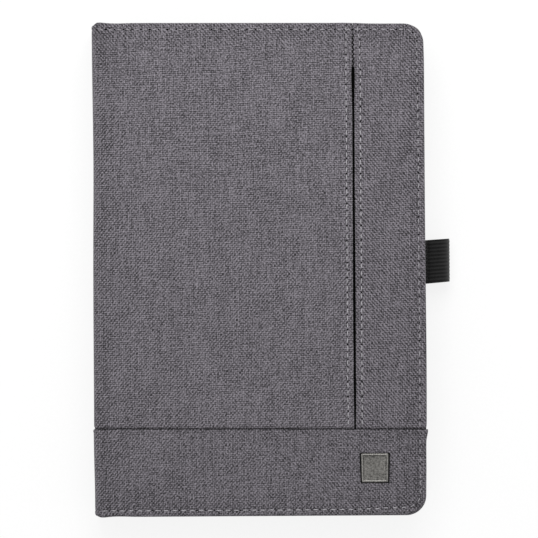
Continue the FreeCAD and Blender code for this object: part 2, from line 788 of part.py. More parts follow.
keep("stand_panel", remove("stand_bored", join("stand_solid", stand_solids),
                           join("stand_hollows", stand_holes)))
keep("stand_strip", block("stand_strip_bar", *strip_edges, "hinge_level + stand_gauge / 2 - strip_gauge",
                          "hinge_level + stand_gauge / 2"))

# Keyboard housing on the inside of the front cover, keys facing the tray.
deck_outline = rectangle("tray_left", "tray_right", "-tray_top", "tray_top", tray_corners)
screw_places = [(x, y) for x in ("tray_left + boss_reach", "tray_middle", "tray_right - boss_reach")
                for y in ("-(screw_along)", "screw_along")]
bumper_places = [(x, y) for x in ("tray_left + bumper_inset", "tray_right - bumper_inset")
                 for y in ("-tray_top + bumper_inset", "tray_top - bumper_inset")]
touchpad_edges = ("touchpad_line - touchpad_width / 2", "touchpad_line + touchpad_width / 2",
                  "-touchpad_length / 2", "touchpad_length / 2")
light_places = ["button_along - light_spacing", "button_along", "button_along + light_spacing"]
lights = [circle("touchpad_line - light_offset", along, "light_radius") for along in light_places]
socket_edges = ("socket_line - socket_width / 2", "socket_line + socket_width / 2",
                "bay_middle - socket_height / 2", "bay_middle + socket_height / 2")
switch_edges = ("touchpad_line - switch_length / 2", "touchpad_line + switch_length / 2",
                "bay_middle - switch_height / 2", "bay_middle + switch_height / 2")

# Every key cap by row, and runs of equal keys: the cap nearest the user's right, how many there are,
# the piece they belong to and what makes them equal.
row_caps = []
key_runs = []
for row, keys in enumerate(KEY_ROWS):
    start = 0.0
    row_caps.append([])
    for number, (label, width) in enumerate(keys):
        cap = key_edges(row, start, width)
        start += width
        if row == SPLIT_ROW and number == SPLIT_KEY:
            left, right, bottom, top = cap
            middle = f"(({left}) + ({right})) / 2"
            halves = [(left, f"{middle} - key_gap / 2", bottom, top),
                      (f"{middle} + key_gap / 2", right, bottom, top)]
            key_runs.extend((half, 1, label, None) for half in halves)
            row_caps[row].extend(halves)
            continue
        row_caps[row].append(cap)
        alike = (row, label, width)
        count = 1
        if key_runs and key_runs[-1][3] == alike:
            count = key_runs.pop()[1] + 1
        key_runs.append((cap, count, label, alike))

keyboard_deck = new_body("keyboard_deck")
pad(keyboard_deck, "deck_face", "base_inner", deck_outline)
cut(keyboard_deck, "deck_inner", "base_inner",
    rounded("tray_left + deck_wall", "tray_right - deck_wall", "-(wall_inner)", "wall_inner",
            "tray_corner - deck_wall"))
pad(keyboard_deck, "deck_inner", "base_inner", *[circle(x, y, "boss_radius") for x, y in screw_places])
cut(keyboard_deck, "deck_inner + screw_start", "base_inner",
    *[circle(x, y, "screw_radius") for x, y in screw_places])
cut(keyboard_deck, "deck_face", "field_face",
    rounded("field_left - field_margin", "field_right + field_margin", "-field_top - field_margin",
            "field_top + field_margin", "key_corner + field_margin"))
cut(keyboard_deck, "deck_face", "deck_inner",
    rounded(*grown(touchpad_edges, "touchpad_clearance"), "touchpad_corner + touchpad_clearance"))
cut(keyboard_deck, "deck_face", "deck_inner",
    circle("touchpad_line", "button_along", "button_radius + key_clearance"), *lights)
cut(keyboard_deck, "deck_face", "deck_face + bumper_seat",
    *[circle(x, y, "bumper_radius") for x, y in bumper_places])
cut_along(keyboard_deck, "wall_inner - running_gap", "tray_top + overshoot",
          rounded(*grown(socket_edges, "slot_clearance / 2"), "socket_corner"))
cut_along(keyboard_deck, "wall_inner - running_gap", "tray_top + overshoot",
          rectangle("touchpad_line - switch_length / 2 - slot_clearance",
                    "touchpad_line + switch_length / 2 + switch_travel + slot_clearance",
                    "bay_middle - switch_height / 2 - slot_clearance",
                    "bay_middle + switch_height / 2 + slot_clearance"))

for caps in row_caps:
    holes = cut(keyboard_deck, "field_face", "deck_inner",
                *[rectangle(*grown(cap, "key_clearance")) for cap in caps])
    holes.Refine = False

keyboard_base = new_body("keyboard_base")
pad(keyboard_base, "base_inner", "base_outer", deck_outline)
cut(keyboard_base, "base_inner", "base_outer",
    *[circle(x, y, "screw_radius + screw_clearance") for x, y in screw_places])
cut(keyboard_base, "base_outer - screw_rim", "base_outer",
    *[circle(x, y, "screw_head + screw_clearance") for x, y in screw_places])

screws = []
for x, y in screw_places:
    shank = post("screw_shank", x, y, "deck_inner + screw_start", "base_outer", "screw_radius")
    head = post("screw_top", x, y, "base_outer - screw_rim", "base_outer", "screw_head")
    screws.append(join("screw_one", [shank, head]))
keep("keyboard_screws", group("screw_set", screws))

sheet_piece("keyboard_tape", "base_outer", "front_inside",
            "tray_left + tape_inset", "tray_right - tape_inset",
            "-tray_top + tape_inset", "tray_top - tape_inset")

bumpers = new_body("bumpers")
pad(bumpers, "bumper_face", "deck_face + bumper_seat",
    *[circle(x, y, "bumper_radius") for x, y in bumper_places])

# Keys, the dome sheet under them and the layers that close the key field.
for label in dict.fromkeys(run[2] for run in key_runs):
    keys = new_body(label)
    for cap, count, owner, alike in key_runs:
        if owner == label:
            face = pad(keys, "deck_face", "flange_low", rounded(*cap, "key_corner"))
            flange = pad(keys, "flange_low", "flange_high",
                         rounded(*grown(cap, "flange_reach"), "key_corner + flange_reach"))
            repeat(keys, [face, flange], count)

field_edges = ("field_left", "field_right", "-field_top", "field_top")
dome_sheet = sheet_piece("dome_sheet", "dome_low", "membrane_low", *field_edges)
for (left, right, bottom, top), count, label, alike in key_runs:
    ring = circle(f"(({left}) + ({right})) / 2", f"(({bottom}) + ({top})) / 2", "dome_top")
    dome = extrude(dome_sheet, "Pad", "XY_Plane", "flange_high + dome_gap", "dome_low", [ring], "dome_slope")
    repeat(dome_sheet, [dome], count)
sheet_piece("membrane_circuit", "membrane_low", "plate_low", *field_edges)
sheet_piece("support_plate", "plate_low", "base_inner", *field_edges)

# Palm rest: touchpad, pairing button, lights, circuit board and battery.
touchpad = new_body("touchpad")
pad(touchpad, "deck_face + touchpad_sink", "flange_low", rounded(*touchpad_edges, "touchpad_corner"))
pad(touchpad, "flange_low", "flange_high",
    rounded(*grown(touchpad_edges, "flange_reach"), "touchpad_corner + flange_reach"))
sheet_piece("touchpad_switch_block", "flange_high + touchpad_stroke", "base_inner",
            "touchpad_line - touchpad_switch / 2", "touchpad_line + touchpad_switch / 2",
            "-touchpad_switch / 2", "touchpad_switch / 2")

pair_button = new_body("pair_button")
pad(pair_button, "deck_face - button_proud", "flange_low",
    circle("touchpad_line", "button_along", "button_radius"))
pad(pair_button, "flange_low", "flange_high",
    circle("touchpad_line", "button_along", "button_radius + flange_reach"))

status_lights = new_body("status_lights")
pad(status_lights, "deck_face", "deck_inner", *lights)

controller_board = sheet_piece("controller_board", "circuit_low", "base_inner",
                               "circuit_left", "circuit_right", "circuit_near", "circuit_far")
pad(controller_board, "chip_low", "circuit_low",
    rectangle("touchpad_line - chip_size / 2", "touchpad_line + chip_size / 2",
              "circuit_near + board_margin", "circuit_near + board_margin + chip_size"),
    rectangle("touchpad_line - button_radius", "touchpad_line + button_radius",
              "button_along - button_radius", "button_along + button_radius"))

sheet_piece("battery", "base_inner - battery_gauge", "base_inner",
            "circuit_left", "circuit_right", "-circuit_far", "-circuit_near")

charging_socket = new_body("charging_socket")
pad_along(charging_socket, "tray_top - socket_depth", "tray_top", rounded(*socket_edges, "socket_corner"))
cut_along(charging_socket, "tray_top - socket_depth + tongue_depth", "tray_top",
          rounded(*grown(socket_edges, "-socket_wall"), "socket_corner - socket_wall"))
pad_along(charging_socket, "tray_top - socket_depth", "tray_top - tongue_depth",
          rectangle("socket_line - tongue_width / 2", "socket_line + tongue_width / 2",
                    "bay_middle - tongue_height / 2", "bay_middle + tongue_height / 2"))

power_switch = new_body("power_switch")
pad_along(power_switch, "wall_inner - slot_clearance", "tray_top + switch_proud", rectangle(*switch_edges))
pad_along(power_switch, "wall_inner - slot_clearance - switch_plate", "wall_inner - slot_clearance",
          rectangle("touchpad_line - switch_length / 2 - switch_cover",
                    "touchpad_line + switch_length / 2 + switch_heel",
                    "bay_middle - switch_height", "bay_middle + switch_height"))

doc.recompute()

faults = []
for item in doc.Objects:
    if "Invalid" in item.State or "Error" in item.State:
        faults.append(f"{item.Label}: {item.State}")
    if item.TypeId == "PartDesign::Pocket" and item.Shape.Volume >= item.BaseFeature.Shape.Volume - 1e-6:
        faults.append(f"{item.Label}: takes nothing away")
    if item.TypeId == "PartDesign::Pad" and item.BaseFeature:
        if item.Shape.Volume <= item.BaseFeature.Shape.Volume + 1e-6:
            faults.append(f"{item.Label}: adds nothing")
for label, item in nodes.items():
    if item.Shape.isNull() or not item.Shape.isValid() or not item.Shape.Solids:
        faults.append(f"{label}: no valid solid")
if faults:
    raise RuntimeError("; ".join(faults))

os.makedirs("parts", exist_ok=True)
for label, item in nodes.items():
    item.Shape.exportStep(f"parts/{label}.step")
print(len(nodes), "pieces written")
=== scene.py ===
import json
import math
from math import pi

import bmesh
import bpy
import numpy as np
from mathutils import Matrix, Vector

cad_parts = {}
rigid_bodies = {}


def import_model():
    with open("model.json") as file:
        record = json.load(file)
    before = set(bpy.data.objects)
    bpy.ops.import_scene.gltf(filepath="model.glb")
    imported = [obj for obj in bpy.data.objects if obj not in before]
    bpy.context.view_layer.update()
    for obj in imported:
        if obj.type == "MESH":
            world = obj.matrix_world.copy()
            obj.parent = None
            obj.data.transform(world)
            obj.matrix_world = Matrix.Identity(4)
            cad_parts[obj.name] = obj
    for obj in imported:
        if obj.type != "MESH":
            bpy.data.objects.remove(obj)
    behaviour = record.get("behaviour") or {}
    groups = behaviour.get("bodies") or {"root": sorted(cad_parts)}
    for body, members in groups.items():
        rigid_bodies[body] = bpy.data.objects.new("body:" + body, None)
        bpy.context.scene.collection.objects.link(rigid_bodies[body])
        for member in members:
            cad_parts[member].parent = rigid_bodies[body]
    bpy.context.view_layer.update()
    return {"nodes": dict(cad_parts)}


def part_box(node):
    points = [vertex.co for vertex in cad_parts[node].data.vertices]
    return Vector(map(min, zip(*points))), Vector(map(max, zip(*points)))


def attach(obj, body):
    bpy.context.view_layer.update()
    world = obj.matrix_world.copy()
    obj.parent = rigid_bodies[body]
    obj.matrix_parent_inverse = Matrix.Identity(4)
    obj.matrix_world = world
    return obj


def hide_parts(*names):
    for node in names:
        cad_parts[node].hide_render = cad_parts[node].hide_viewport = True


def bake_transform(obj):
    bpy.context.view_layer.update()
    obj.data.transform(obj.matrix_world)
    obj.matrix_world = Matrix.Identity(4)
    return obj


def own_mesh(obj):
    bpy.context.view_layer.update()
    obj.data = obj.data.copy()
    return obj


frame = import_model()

MILLIMETRE = 0.001


def box(node):
    """The node's lowest and highest corners at rest, in millimetres."""
    low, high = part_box(node)
    return np.array(low) / MILLIMETRE, np.array(high) / MILLIMETRE


# Places that the frame gives, in millimetres.
main_low, main_high = box("front_main_fabric")
side_low, side_high = box("front_side_fabric")
spine_low, spine_high = box("spine_fabric")
lining_low, lining_high = box("front_lining")
back_lining_high = box("back_lining")[1]
spine_lining_high = box("spine_lining")[1]
badge_low, badge_high = box("badge_plate")
loop_low, loop_high = box("pen_loop")
pocket_low, pocket_high = box("pocket_lining")
pad_low, pad_high = box("tray_pad")

COVER_TOP = main_high[2]
FREE_EDGE = side_high[0]
HEAD = main_high[1]
SEAM = main_low[1]
BAND_SEAM = -SEAM
CREASE_X = main_low[0]
CREASE_RADIUS = CREASE_X - spine_low[0]
SPINE_HALF = (spine_high[2] - spine_low[2]) / 2
SLIT = (main_high[0] + side_low[0]) / 2
CREASE_ARC = CREASE_RADIUS * pi / 2
SPINE_LINE = CREASE_X - CREASE_ARC - SPINE_HALF

# Making sizes of the cloth cover, in millimetres, and slants as a rise per run.
CORNER = 9.0
CORNER_HOLD = 30.0
HEM = 4.4
HEM_DEPTH = 2.8
HEM_DIP = 0.15
EDGE_ROUND = 1.2
EDGE_DRAW = 0.35
HEAD_SLANT = 0.0057
SEAM_SLANT = 0.0062
SEAM_PIVOT = -56.0
SLIT_END = 91.3
SLIT_GIVE = 10.0
SEWN_SHUT = 3.5
BAND_RISE = 0.25

# Sizes of the stitching, in millimetres.
THREAD_WIDTH = 0.42
THREAD_HEIGHT = 0.24
THREAD_SINK = 0.22
HOLE_RADIUS = 0.36
HEM_STITCH = 2.8
SIDE_STITCH = 2.95
HEM_PITCH = 3.95
HEM_LENGTH = 2.5
TAIL_STITCH_SLANT = 1.0
SLIT_STITCH = 3.0
SLIT_PITCH = 3.3
SLIT_LENGTH = 2.3
STITCH_DIP = 0.12

# Sizes of the linings, pen loop and badge, in millimetres.
LINING_CORNER = 6.5
LINING_EASE = 0.5
LINING_LAP = 0.3
BEND_HALF = 0.7
POCKET_MARGIN = 0.6
PAD_CORNER = 5.0
RIB_PITCH = 1.68
LOOP_WALL = 0.7
LOOP_ROUND = 4.6
LOOP_NEAR_ROUND = 2.0
LOOP_TAIL = 9.3
LOOP_LEAN = 0.075
BADGE_GROOVE = 1.0
BADGE_TAPER = 0.025

# Sizes of the weave: yarn spacing in metres, the weft's tilt, lengths in yarns, and its shades.
WARP_PITCH = 0.00081
WEFT_PITCH = 0.000951
WEFT_TILT = 0.032
YARN_WANDER = 2.0
SLUB_LENGTH = 9.0
SLUB_STAGGER = 7.0
MEAN_SHADE = 0.388
DIAGONAL_SHADE = 0.25
FLECK_SHADE = 1.57


# Meshes.
def spaced(start, stop, step):
    """Evenly spaced numbers from start to stop, about a step apart."""
    return np.linspace(start, stop, max(2, math.ceil(abs(stop - start) / step) + 1))


def ruled(*runs):
    """One rising row of numbers from several spaced runs, without doubles."""
    row = np.sort(np.concatenate([spaced(*run) for run in runs]))
    return row[np.diff(row, prepend=-np.inf) > 1e-4]


def run_along(a, b):
    """The length so far at each point of a line."""
    return np.concatenate([[0], np.cumsum(np.hypot(np.diff(a), np.diff(b)))])


def points_of(*parts):
    """One array of points from arrays of their coordinates."""
    return np.stack(np.broadcast_arrays(*parts), axis=-1)


def crossed(a, b):
    """Two arrays that hold every pair of a and b."""
    return np.meshgrid(a, b, indexing="ij")


def smooth_step(x):
    """Rises from 0 to 1 as x goes from 0 to 1, level at both ends."""
    t = np.clip(x, 0, 1)
    return t * t * (3 - 2 * t)


def hump(x, centre, width):
    """A bell of height 1 at the centre."""
    return np.exp(-(((x - centre) / width) ** 2))


def rounded_end(past, radius):
    """How far a round corner reaches sideways, at a distance past its centre."""
    climb = np.clip(past, 0, radius)
    return np.sqrt(np.maximum(radius**2 - climb**2, 0))


def rounded_square(turn, power):
    """Distance to the edge of a square of half width 1 at each angle; a high power makes tight corners."""
    return (np.abs(np.cos(turn)) ** power + np.abs(np.sin(turn)) ** power) ** (-1 / power)


def piece(name, patches, finish, smooth=True, weld=1e-6):
    """A mesh from patches: grids of points[m, n, 3] in millimetres, their map places [m, n, 2], and whether
    faces are turned over. Each cell is a four-cornered face, and points that meet are merged."""
    points, places, faces, start = [], [], [], 0
    for grid, chart, turned in patches:
        rows, columns = grid.shape[:2]
        index = start + np.arange(rows * columns).reshape(rows, columns)
        ring = [index[:-1, :-1], index[1:, :-1], index[1:, 1:], index[:-1, 1:]]
        faces.append(np.stack(ring[::-1] if turned else ring, axis=-1).reshape(-1, 4))
        points.append(grid.reshape(-1, 3))
        places.append(chart.reshape(-1, 2))
        start += rows * columns
    return solid_piece(name, np.concatenate(points), np.concatenate(faces), finish, smooth, weld,
                       np.concatenate(places))


def solid_piece(name, points, faces, finish, smooth=True, weld=1e-6, places=None):
    """A mesh from points in millimetres and faces that all have as many corners."""
    mesh = bpy.data.meshes.new(name)
    count, corners = faces.shape
    mesh.vertices.add(len(points))
    mesh.vertices.foreach_set("co", (points * MILLIMETRE).astype(np.float32).ravel())
    mesh.loops.add(count * corners)
    mesh.loops.foreach_set("vertex_index", faces.astype(np.int32).ravel())
    mesh.polygons.add(count)
    mesh.polygons.foreach_set("loop_start", np.arange(count, dtype=np.int32) * corners)
    mesh.update(calc_edges=True)
    if places is not None:
        chart = mesh.uv_layers.new(name="cloth")
        chart.data.foreach_set("uv", (places[faces.ravel()] * MILLIMETRE).astype(np.float32).ravel())
    if weld:
        work = bmesh.new()
        work.from_mesh(mesh)
        bmesh.ops.remove_doubles(work, verts=work.verts, dist=weld)
        bmesh.ops.dissolve_degenerate(work, edges=work.edges, dist=weld)
        work.to_mesh(mesh)
        work.free()
    mesh.polygons.foreach_set("use_smooth", np.full(len(mesh.polygons), smooth))
    mesh.materials.append(finish)
    mesh.update()
    made = bpy.data.objects.new(name, mesh)
    bpy.context.scene.collection.objects.link(made)
    return made


# Finishes.
class Wire:
    """A node's output, so that shader maths reads as an expression on values."""

    def __init__(self, finish, output):
        self.finish = finish
        self.output = output

    def maths(self, operation, *values):
        return self.finish.node("ShaderNodeMath", {"operation": operation}, dict(enumerate(values)))

    def __add__(self, other):
        return self.maths("ADD", self, other)

    def __radd__(self, other):
        return self.maths("ADD", other, self)

    def __sub__(self, other):
        return self.maths("SUBTRACT", self, other)

    def __rsub__(self, other):
        return self.maths("SUBTRACT", other, self)

    def __mul__(self, other):
        return self.maths("MULTIPLY", self, other)

    def __truediv__(self, other):
        return self.maths("DIVIDE", self, other)

    def __gt__(self, other):
        return self.maths("GREATER_THAN", self, other)

    def __abs__(self):
        return self.maths("ABSOLUTE", self)

    def sine(self):
        return self.maths("SINE", self)

    def cosine(self):
        return self.maths("COSINE", self)

    def floor(self):
        return self.maths("FLOOR", self)

    def within(self, low=0.0, high=1.0):
        return self.maths("MINIMUM", self.maths("MAXIMUM", self, low), high)

    def fade(self, reach):
        """1 at zero and below, falling to 0 at the reach."""
        return (1.0 - self / reach).within()


class Finish:
    """One material: its shader, and the nodes that feed it."""

    def __init__(self, name, **constants):
        self.material = bpy.data.materials.new(name)
        self.material.use_nodes = True
        self.tree = self.material.node_tree
        self.shader = self.tree.nodes["Principled BSDF"]
        self.set(**constants)

    def node(self, kind, settings=None, sockets=None, output=0):
        """A node of that kind, with its settings made first, then its sockets fed."""
        made = self.tree.nodes.new(kind)
        for name, value in (settings or {}).items():
            setattr(made, name, value)
        for name, value in (sockets or {}).items():
            self.feed(made.inputs[name], value)
        return Wire(self, made.outputs[output])

    def feed(self, socket, value):
        if isinstance(value, Wire):
            self.tree.links.new(value.output, socket)
        else:
            socket.default_value = value

    def set(self, **values):
        """Sets the shader's own sockets, named with underscores for spaces."""
        for name, value in values.items():
            self.feed(self.shader.inputs[name.replace("_", " ")], value)

    def place(self):
        """Object coordinates, in metres."""
        return self.node("ShaderNodeTexCoord", output="Object")

    def chart(self):
        """The piece's own map, in metres."""
        return self.node("ShaderNodeUVMap", {"uv_map": "cloth"})

    def parts(self, vector):
        split = self.node("ShaderNodeSeparateXYZ", {}, {0: vector})
        return [Wire(self, output) for output in split.output.node.outputs]

    def noise(self, vector, scale, detail=2.0, roughness=0.5):
        return self.node("ShaderNodeTexNoise", {}, {"Vector": vector, "Scale": scale, "Detail": detail,
                                                    "Roughness": roughness})

    def tone(self, first, second=None):
        """A random value for each whole number, or for each pair of them."""
        if second is None:
            return self.node("ShaderNodeTexWhiteNoise", {"noise_dimensions": "1D"}, {1: first.floor()})
        pair = self.node("ShaderNodeCombineXYZ", {}, {0: first.floor(), 1: second.floor()})
        return self.node("ShaderNodeTexWhiteNoise", {"noise_dimensions": "2D"}, {0: pair})

    def blend(self, factor, first, second):
        """The colour that is first at 0 and second at 1."""
        return self.node("ShaderNodeMix", {"data_type": "RGBA"}, {0: factor, 6: first, 7: second}, 2)

    def done(self, shade, dark, light, rough=None, normal=None):
        """The material, coloured from dark to light by its shade, and rough and bumped where given."""
        self.set(Base_Color=self.blend(shade.within(), dark, light))
        if rough is not None:
            self.set(Roughness=rough.within())
        if normal is not None:
            self.set(Normal=normal)
        return self.material

    def bump(self, height, distance, strength, **others):
        sockets = {"Height": height, "Distance": distance, "Strength": strength, **others}
        return self.node("ShaderNodeBump", {}, sockets)


def grey(value, warmth=0.0):
    """A colour near grey, a little warmer or cooler."""
    return (value * (1 + warmth), value, value * (1 - warmth), 1.0)


def tint(red, green, blue):
    return (red, green, blue, 1.0)


def heather_cloth(name, light, dark, lean, swing, weft, start):
    """Plain weave of heathered yarns: warp and weft are waves of the map, and their crossings make two sets
    of diagonals. lean is the rising set's share at the middle, and swing how fast it drops towards the free
    edge, and how fast painted shade darkens the cloth there; at the head the other set takes over. start is
    the diagonals' strength near the head, from where they grow; weft is that of the weft's own lines.
    Crossings and lengths of yarn have random tones. Painted shade darkens the gaps between yarns, strips
    inside the hem stitching, the hems beyond it at head and tail, the crease and the seam's ditch; a painted
    highlight lightens the cloth where it turns round the crease."""
    f = Finish(name, Roughness=0.92, Sheen_Weight=0.08, Sheen_Roughness=0.6, Specular_IOR_Level=0.2)
    chart = f.chart()
    shifted = f.node("ShaderNodeVectorMath", {"operation": "ADD"}, {0: chart, 1: (3.1, 1.7, 0.4)})
    x, y, _ = f.parts(chart)

    from_spine = abs(x - SPINE_LINE * MILLIMETRE)
    past_crease = from_spine - (CREASE_X - SPINE_LINE) * MILLIMETRE
    in_side = (FREE_EDGE - SPINE_LINE - SIDE_STITCH - EDGE_DRAW) * MILLIMETRE - from_spine
    in_end = (HEAD - HEM_STITCH) * MILLIMETRE - abs(y)
    at_head = in_end.fade(0.018) * (y / 0.02).within()
    at_fold = past_crease.fade(0.014)
    at_free = in_side.fade(0.016)
    # Painted shade in strips just inside the hem stitching, where the cloth steps down from the doubled hem.
    stitch_strip_shades = [(depth / 0.0004).within() * depth.fade(0.008) for depth in (in_side, in_end)]
    # Painted shade on the hem beyond the stitching at head and tail, stronger at the head.
    hem_rim_shade = (in_end / -0.0014).within() * (0.035 + y * 0.15)
    # Painted shade along the crease, where the cloth rounds over the spine's edge.
    crease_shade = abs(past_crease - 0.002).fade(0.006)
    # Painted highlight where the cloth turns round the crease; its weight below is negative, so it lightens.
    bend_highlight = abs(past_crease + CREASE_RADIUS * MILLIMETRE).fade(0.0018)
    # Painted shade in the ditch of the seam above the band.
    at_seam = abs(y - SEAM * MILLIMETRE).fade(0.0008)

    u = x / WARP_PITCH + (f.noise(chart, 26.0) - 0.5) * YARN_WANDER
    v = (y - x * WEFT_TILT) / WEFT_PITCH + (f.noise(shifted, 26.0) - 0.5) * YARN_WANDER
    rising = ((u - v) * pi).cosine()
    falling = ((u + v) * pi).cosine()
    share = lean - x * swing + (f.noise(chart, 38.0, 1.0) - 0.5) * 0.8 + at_head * ((0.35 - lean) * 2.4)
    share = share.within(0.05, 0.88)
    drawn = start + (HEAD * MILLIMETRE - y) * 6.5 + at_head * 0.4 + at_fold * 0.3 + at_free * 0.35
    drawn = drawn.within(start, 1.0)
    crossing = (rising * share - falling * (1.0 - share)) * drawn

    warp_round = abs((u * pi).sine())
    weft_round = abs((v * pi).sine())
    crown = warp_round * weft_round
    cell = f.tone(u, v)
    pick_slub = f.tone(u / SLUB_LENGTH + f.tone(v) * SLUB_STAGGER, v)
    end_slub = f.tone(u, v / SLUB_LENGTH + f.tone(u) * SLUB_STAGGER)
    mottle = f.noise(chart, 90.0, 3.0)
    fibre = f.noise(chart, 1400.0, 0.0)
    fleck = (fibre - 0.5) * (0.65 + fibre * 0.7)
    ridge = (weft + y).within(0.12, 0.32) * (1.0 - at_head * 0.8)

    shade = MEAN_SHADE + crossing * DIAGONAL_SHADE + (weft_round - 0.6) * ridge
    # The last term is painted shade: the cloth grows darker towards the free edge, at a rate set by swing.
    shade = shade + fleck * (FLECK_SHADE - drawn * 0.25) - ((x - 0.02) * (swing * 0.2)).within()
    # crown, warp_round and weft_round are lowest in the gaps between yarns, which they darken as painted
    # shade.
    for part, middle, weight in ((cell, 0.5, 0.2), (crown, 0.4, 0.29), (warp_round, 0.6, 0.15),
                                 (pick_slub, 0.5, 0.11), (end_slub, 0.5, 0.17), (mottle, 0.5, 0.08)):
        shade = shade + (part - middle) * weight
    # These take away painted shade in the stitch strips and at the crease, and add a painted highlight at the
    # bend.
    for place, weight in ((stitch_strip_shades[0], 0.07), (stitch_strip_shades[1], 0.07), (crease_shade, 0.085), (bend_highlight, -0.07)):
        shade = shade - place * weight
    # Painted shade on the head and tail hems and in the seam's ditch.
    shade = shade - hem_rim_shade - at_seam * (f.noise(chart, 700.0, 1.0) - 0.35).within()
    height = crossing * 0.35 + crown * 0.5 + fibre * 0.15
    return f.done(shade, dark, light, normal=f.bump(height, 0.00016, 0.7))


def lining_suede(name, light, dark, sheen=0.35):
    """Brushed microfibre: fine pile noise over broad stroked patches."""
    f = Finish(name, Roughness=0.95, Sheen_Weight=sheen, Sheen_Roughness=0.45, Specular_IOR_Level=0.2 * sheen)
    where = f.place()
    stroke = f.noise(where, 45.0, 4.0, 0.6)
    pile = f.noise(where, 5200.0, 2.0, 0.7)
    return f.done(stroke * 0.7 + pile * 0.5 - 0.1, dark, light, normal=f.bump(pile, 0.00008, 0.6))


def moulded(name, light, dark, roughness, grain=2600.0, depth=0.00002):
    """Spark-textured plastic: a fine grain with rubbed, smoother patches, and edges eased by a bevel."""
    f = Finish(name, Specular_IOR_Level=0.45)
    where = f.place()
    fine = f.noise(where, grain, 2.0, 0.6)
    broad = f.noise(where, 28.0, 3.0)
    rough = roughness + (broad - 0.5) * 0.16 + (fine - 0.5) * 0.1
    eased = f.node("ShaderNodeBevel", {"samples": 4}, {"Radius": 0.00025})
    return f.done(fine * 0.6 + broad * 0.5 - 0.05, dark, light, rough, f.bump(fine, depth, 0.6, Normal=eased))


def brushed_metal(name, light, dark, roughness, stretch=(900.0, 25.0, 900.0)):
    """Metal with drawn brush lines: noise stretched along the brushing, and a duller bloom in patches."""
    f = Finish(name, Metallic=1.0)
    where = f.place()
    lined = f.node("ShaderNodeVectorMath", {"operation": "MULTIPLY"}, {0: where, 1: stretch})
    line = f.noise(lined, 4.0, 3.0, 0.7)
    bloom = f.noise(where, 60.0, 3.0)
    rough = (roughness + (line - 0.5) * 0.2 + (bloom - 0.5) * 0.15).within(0.05)
    return f.done(line * 0.7 + bloom * 0.4 - 0.05, dark, light, rough, f.bump(line, 0.00001, 0.5))


def pewter(name, light, dark):
    """Cast badge metal, dull, with fine pits. Its map's first place is the distance from the edge, and a dark
    line is painted at the groove as shade."""
    f = Finish(name, Metallic=0.75, Specular_IOR_Level=0.5)
    where = f.place()
    inset, _, _ = f.parts(f.chart())
    pits = f.noise(where, 1250.0, 1.0, 0.65)
    bloom = f.noise(where, 160.0, 3.0)
    # Painted shade in the groove between frame and field.
    line = abs(inset - BADGE_GROOVE * MILLIMETRE).fade(0.00035)
    rim = ((BADGE_GROOVE * MILLIMETRE - inset) / 0.0003).within()
    shade = pits * 1.1 + bloom * 0.5 - 0.35 - line * 0.4 + rim * 0.22
    rough = 0.42 + (pits - 0.5) * 0.25 + (bloom - 0.5) * 0.2
    return f.done(shade, dark, light, rough, f.bump(pits, 0.00004, 0.5))


def elastic_web(name, light, dark, pick_pitch=0.00055):
    """Woven elastic: the map's second place runs across the ribs; fine picks cross each rib."""
    f = Finish(name, Roughness=0.85, Sheen_Weight=0.2, Specular_IOR_Level=0.25)
    chart = f.chart()
    x, y, _ = f.parts(chart)
    pick = abs((x * (pi / pick_pitch)).sine())
    cord = (y * (2 * pi / (RIB_PITCH * MILLIMETRE))).cosine() * 0.5 + 0.5
    wear = f.noise(chart, 400.0, 3.0)
    # Painted shade: cord makes the rib crests light and the troughs between ribs dark.
    shade = cord * 1.05 + pick * 0.15 + (wear - 0.5) * 0.5 - 0.22
    return f.done(shade, dark, light, normal=f.bump(cord * 0.6 + pick * 0.4, 0.00008, 0.7))


def sewing_thread(name, light, dark, twist_pitch=0.00042):
    """Twisted thread: slanted stripes along its own map, with painted shade that darkens it towards the head
    and the spine, and along the free edge, where it is sunk in the cloth."""
    f = Finish(name, Roughness=0.7, Sheen_Weight=0.2, Specular_IOR_Level=0.3)
    chart = f.chart()
    x, y, _ = f.parts(chart)
    twist = ((x + y * 0.8) * (2 * pi / twist_pitch)).sine() * 0.5 + 0.5
    lint = f.noise(chart, 900.0, 2.0)
    where = f.place()
    across, up, _ = f.parts(where)
    # Painted shade: darker towards the head and the spine, and along the free edge, where the thread is sunk
    # in the cloth.
    sunk_shade = (up * 7.0 - across * 9.0 + (f.noise(where, 30.0, 1.0) - 0.5) * 2.0).within()
    sunk_shade = sunk_shade * 0.4 + ((across - 0.065) / 0.004).within() * 0.27
    return f.done(twist * 0.4 + lint * 0.5 + 0.15 - sunk_shade, dark, light, normal=f.bump(twist, 0.00006, 0.8))


def printed_circuit(name, light, dark):
    """Green solder resist over copper tracks that follow the edges of a square cell pattern."""
    f = Finish(name, Specular_IOR_Level=0.5)
    where = f.place()
    cell = f.node("ShaderNodeTexVoronoi", {"distance": "CHEBYCHEV", "feature": "F1"},
                  {"Vector": where, "Scale": 330.0})
    track = abs((cell * 26.0).sine()) > 0.72
    dust = f.noise(where, 120.0, 3.0)
    shade = track * 0.6 + (dust - 0.5) * 0.3 + 0.1
    return f.done(shade, dark, light, 0.38 + (dust - 0.5) * 0.2, f.bump(track, 0.00003, 0.6))


def mottled(name, light, dark, scale, rough, spread, **constants):
    """A plain finish, finely uneven in colour and roughness."""
    f = Finish(name, **constants)
    patch = f.noise(f.place(), scale)
    return f.done(patch, dark, light, rough + patch * spread)


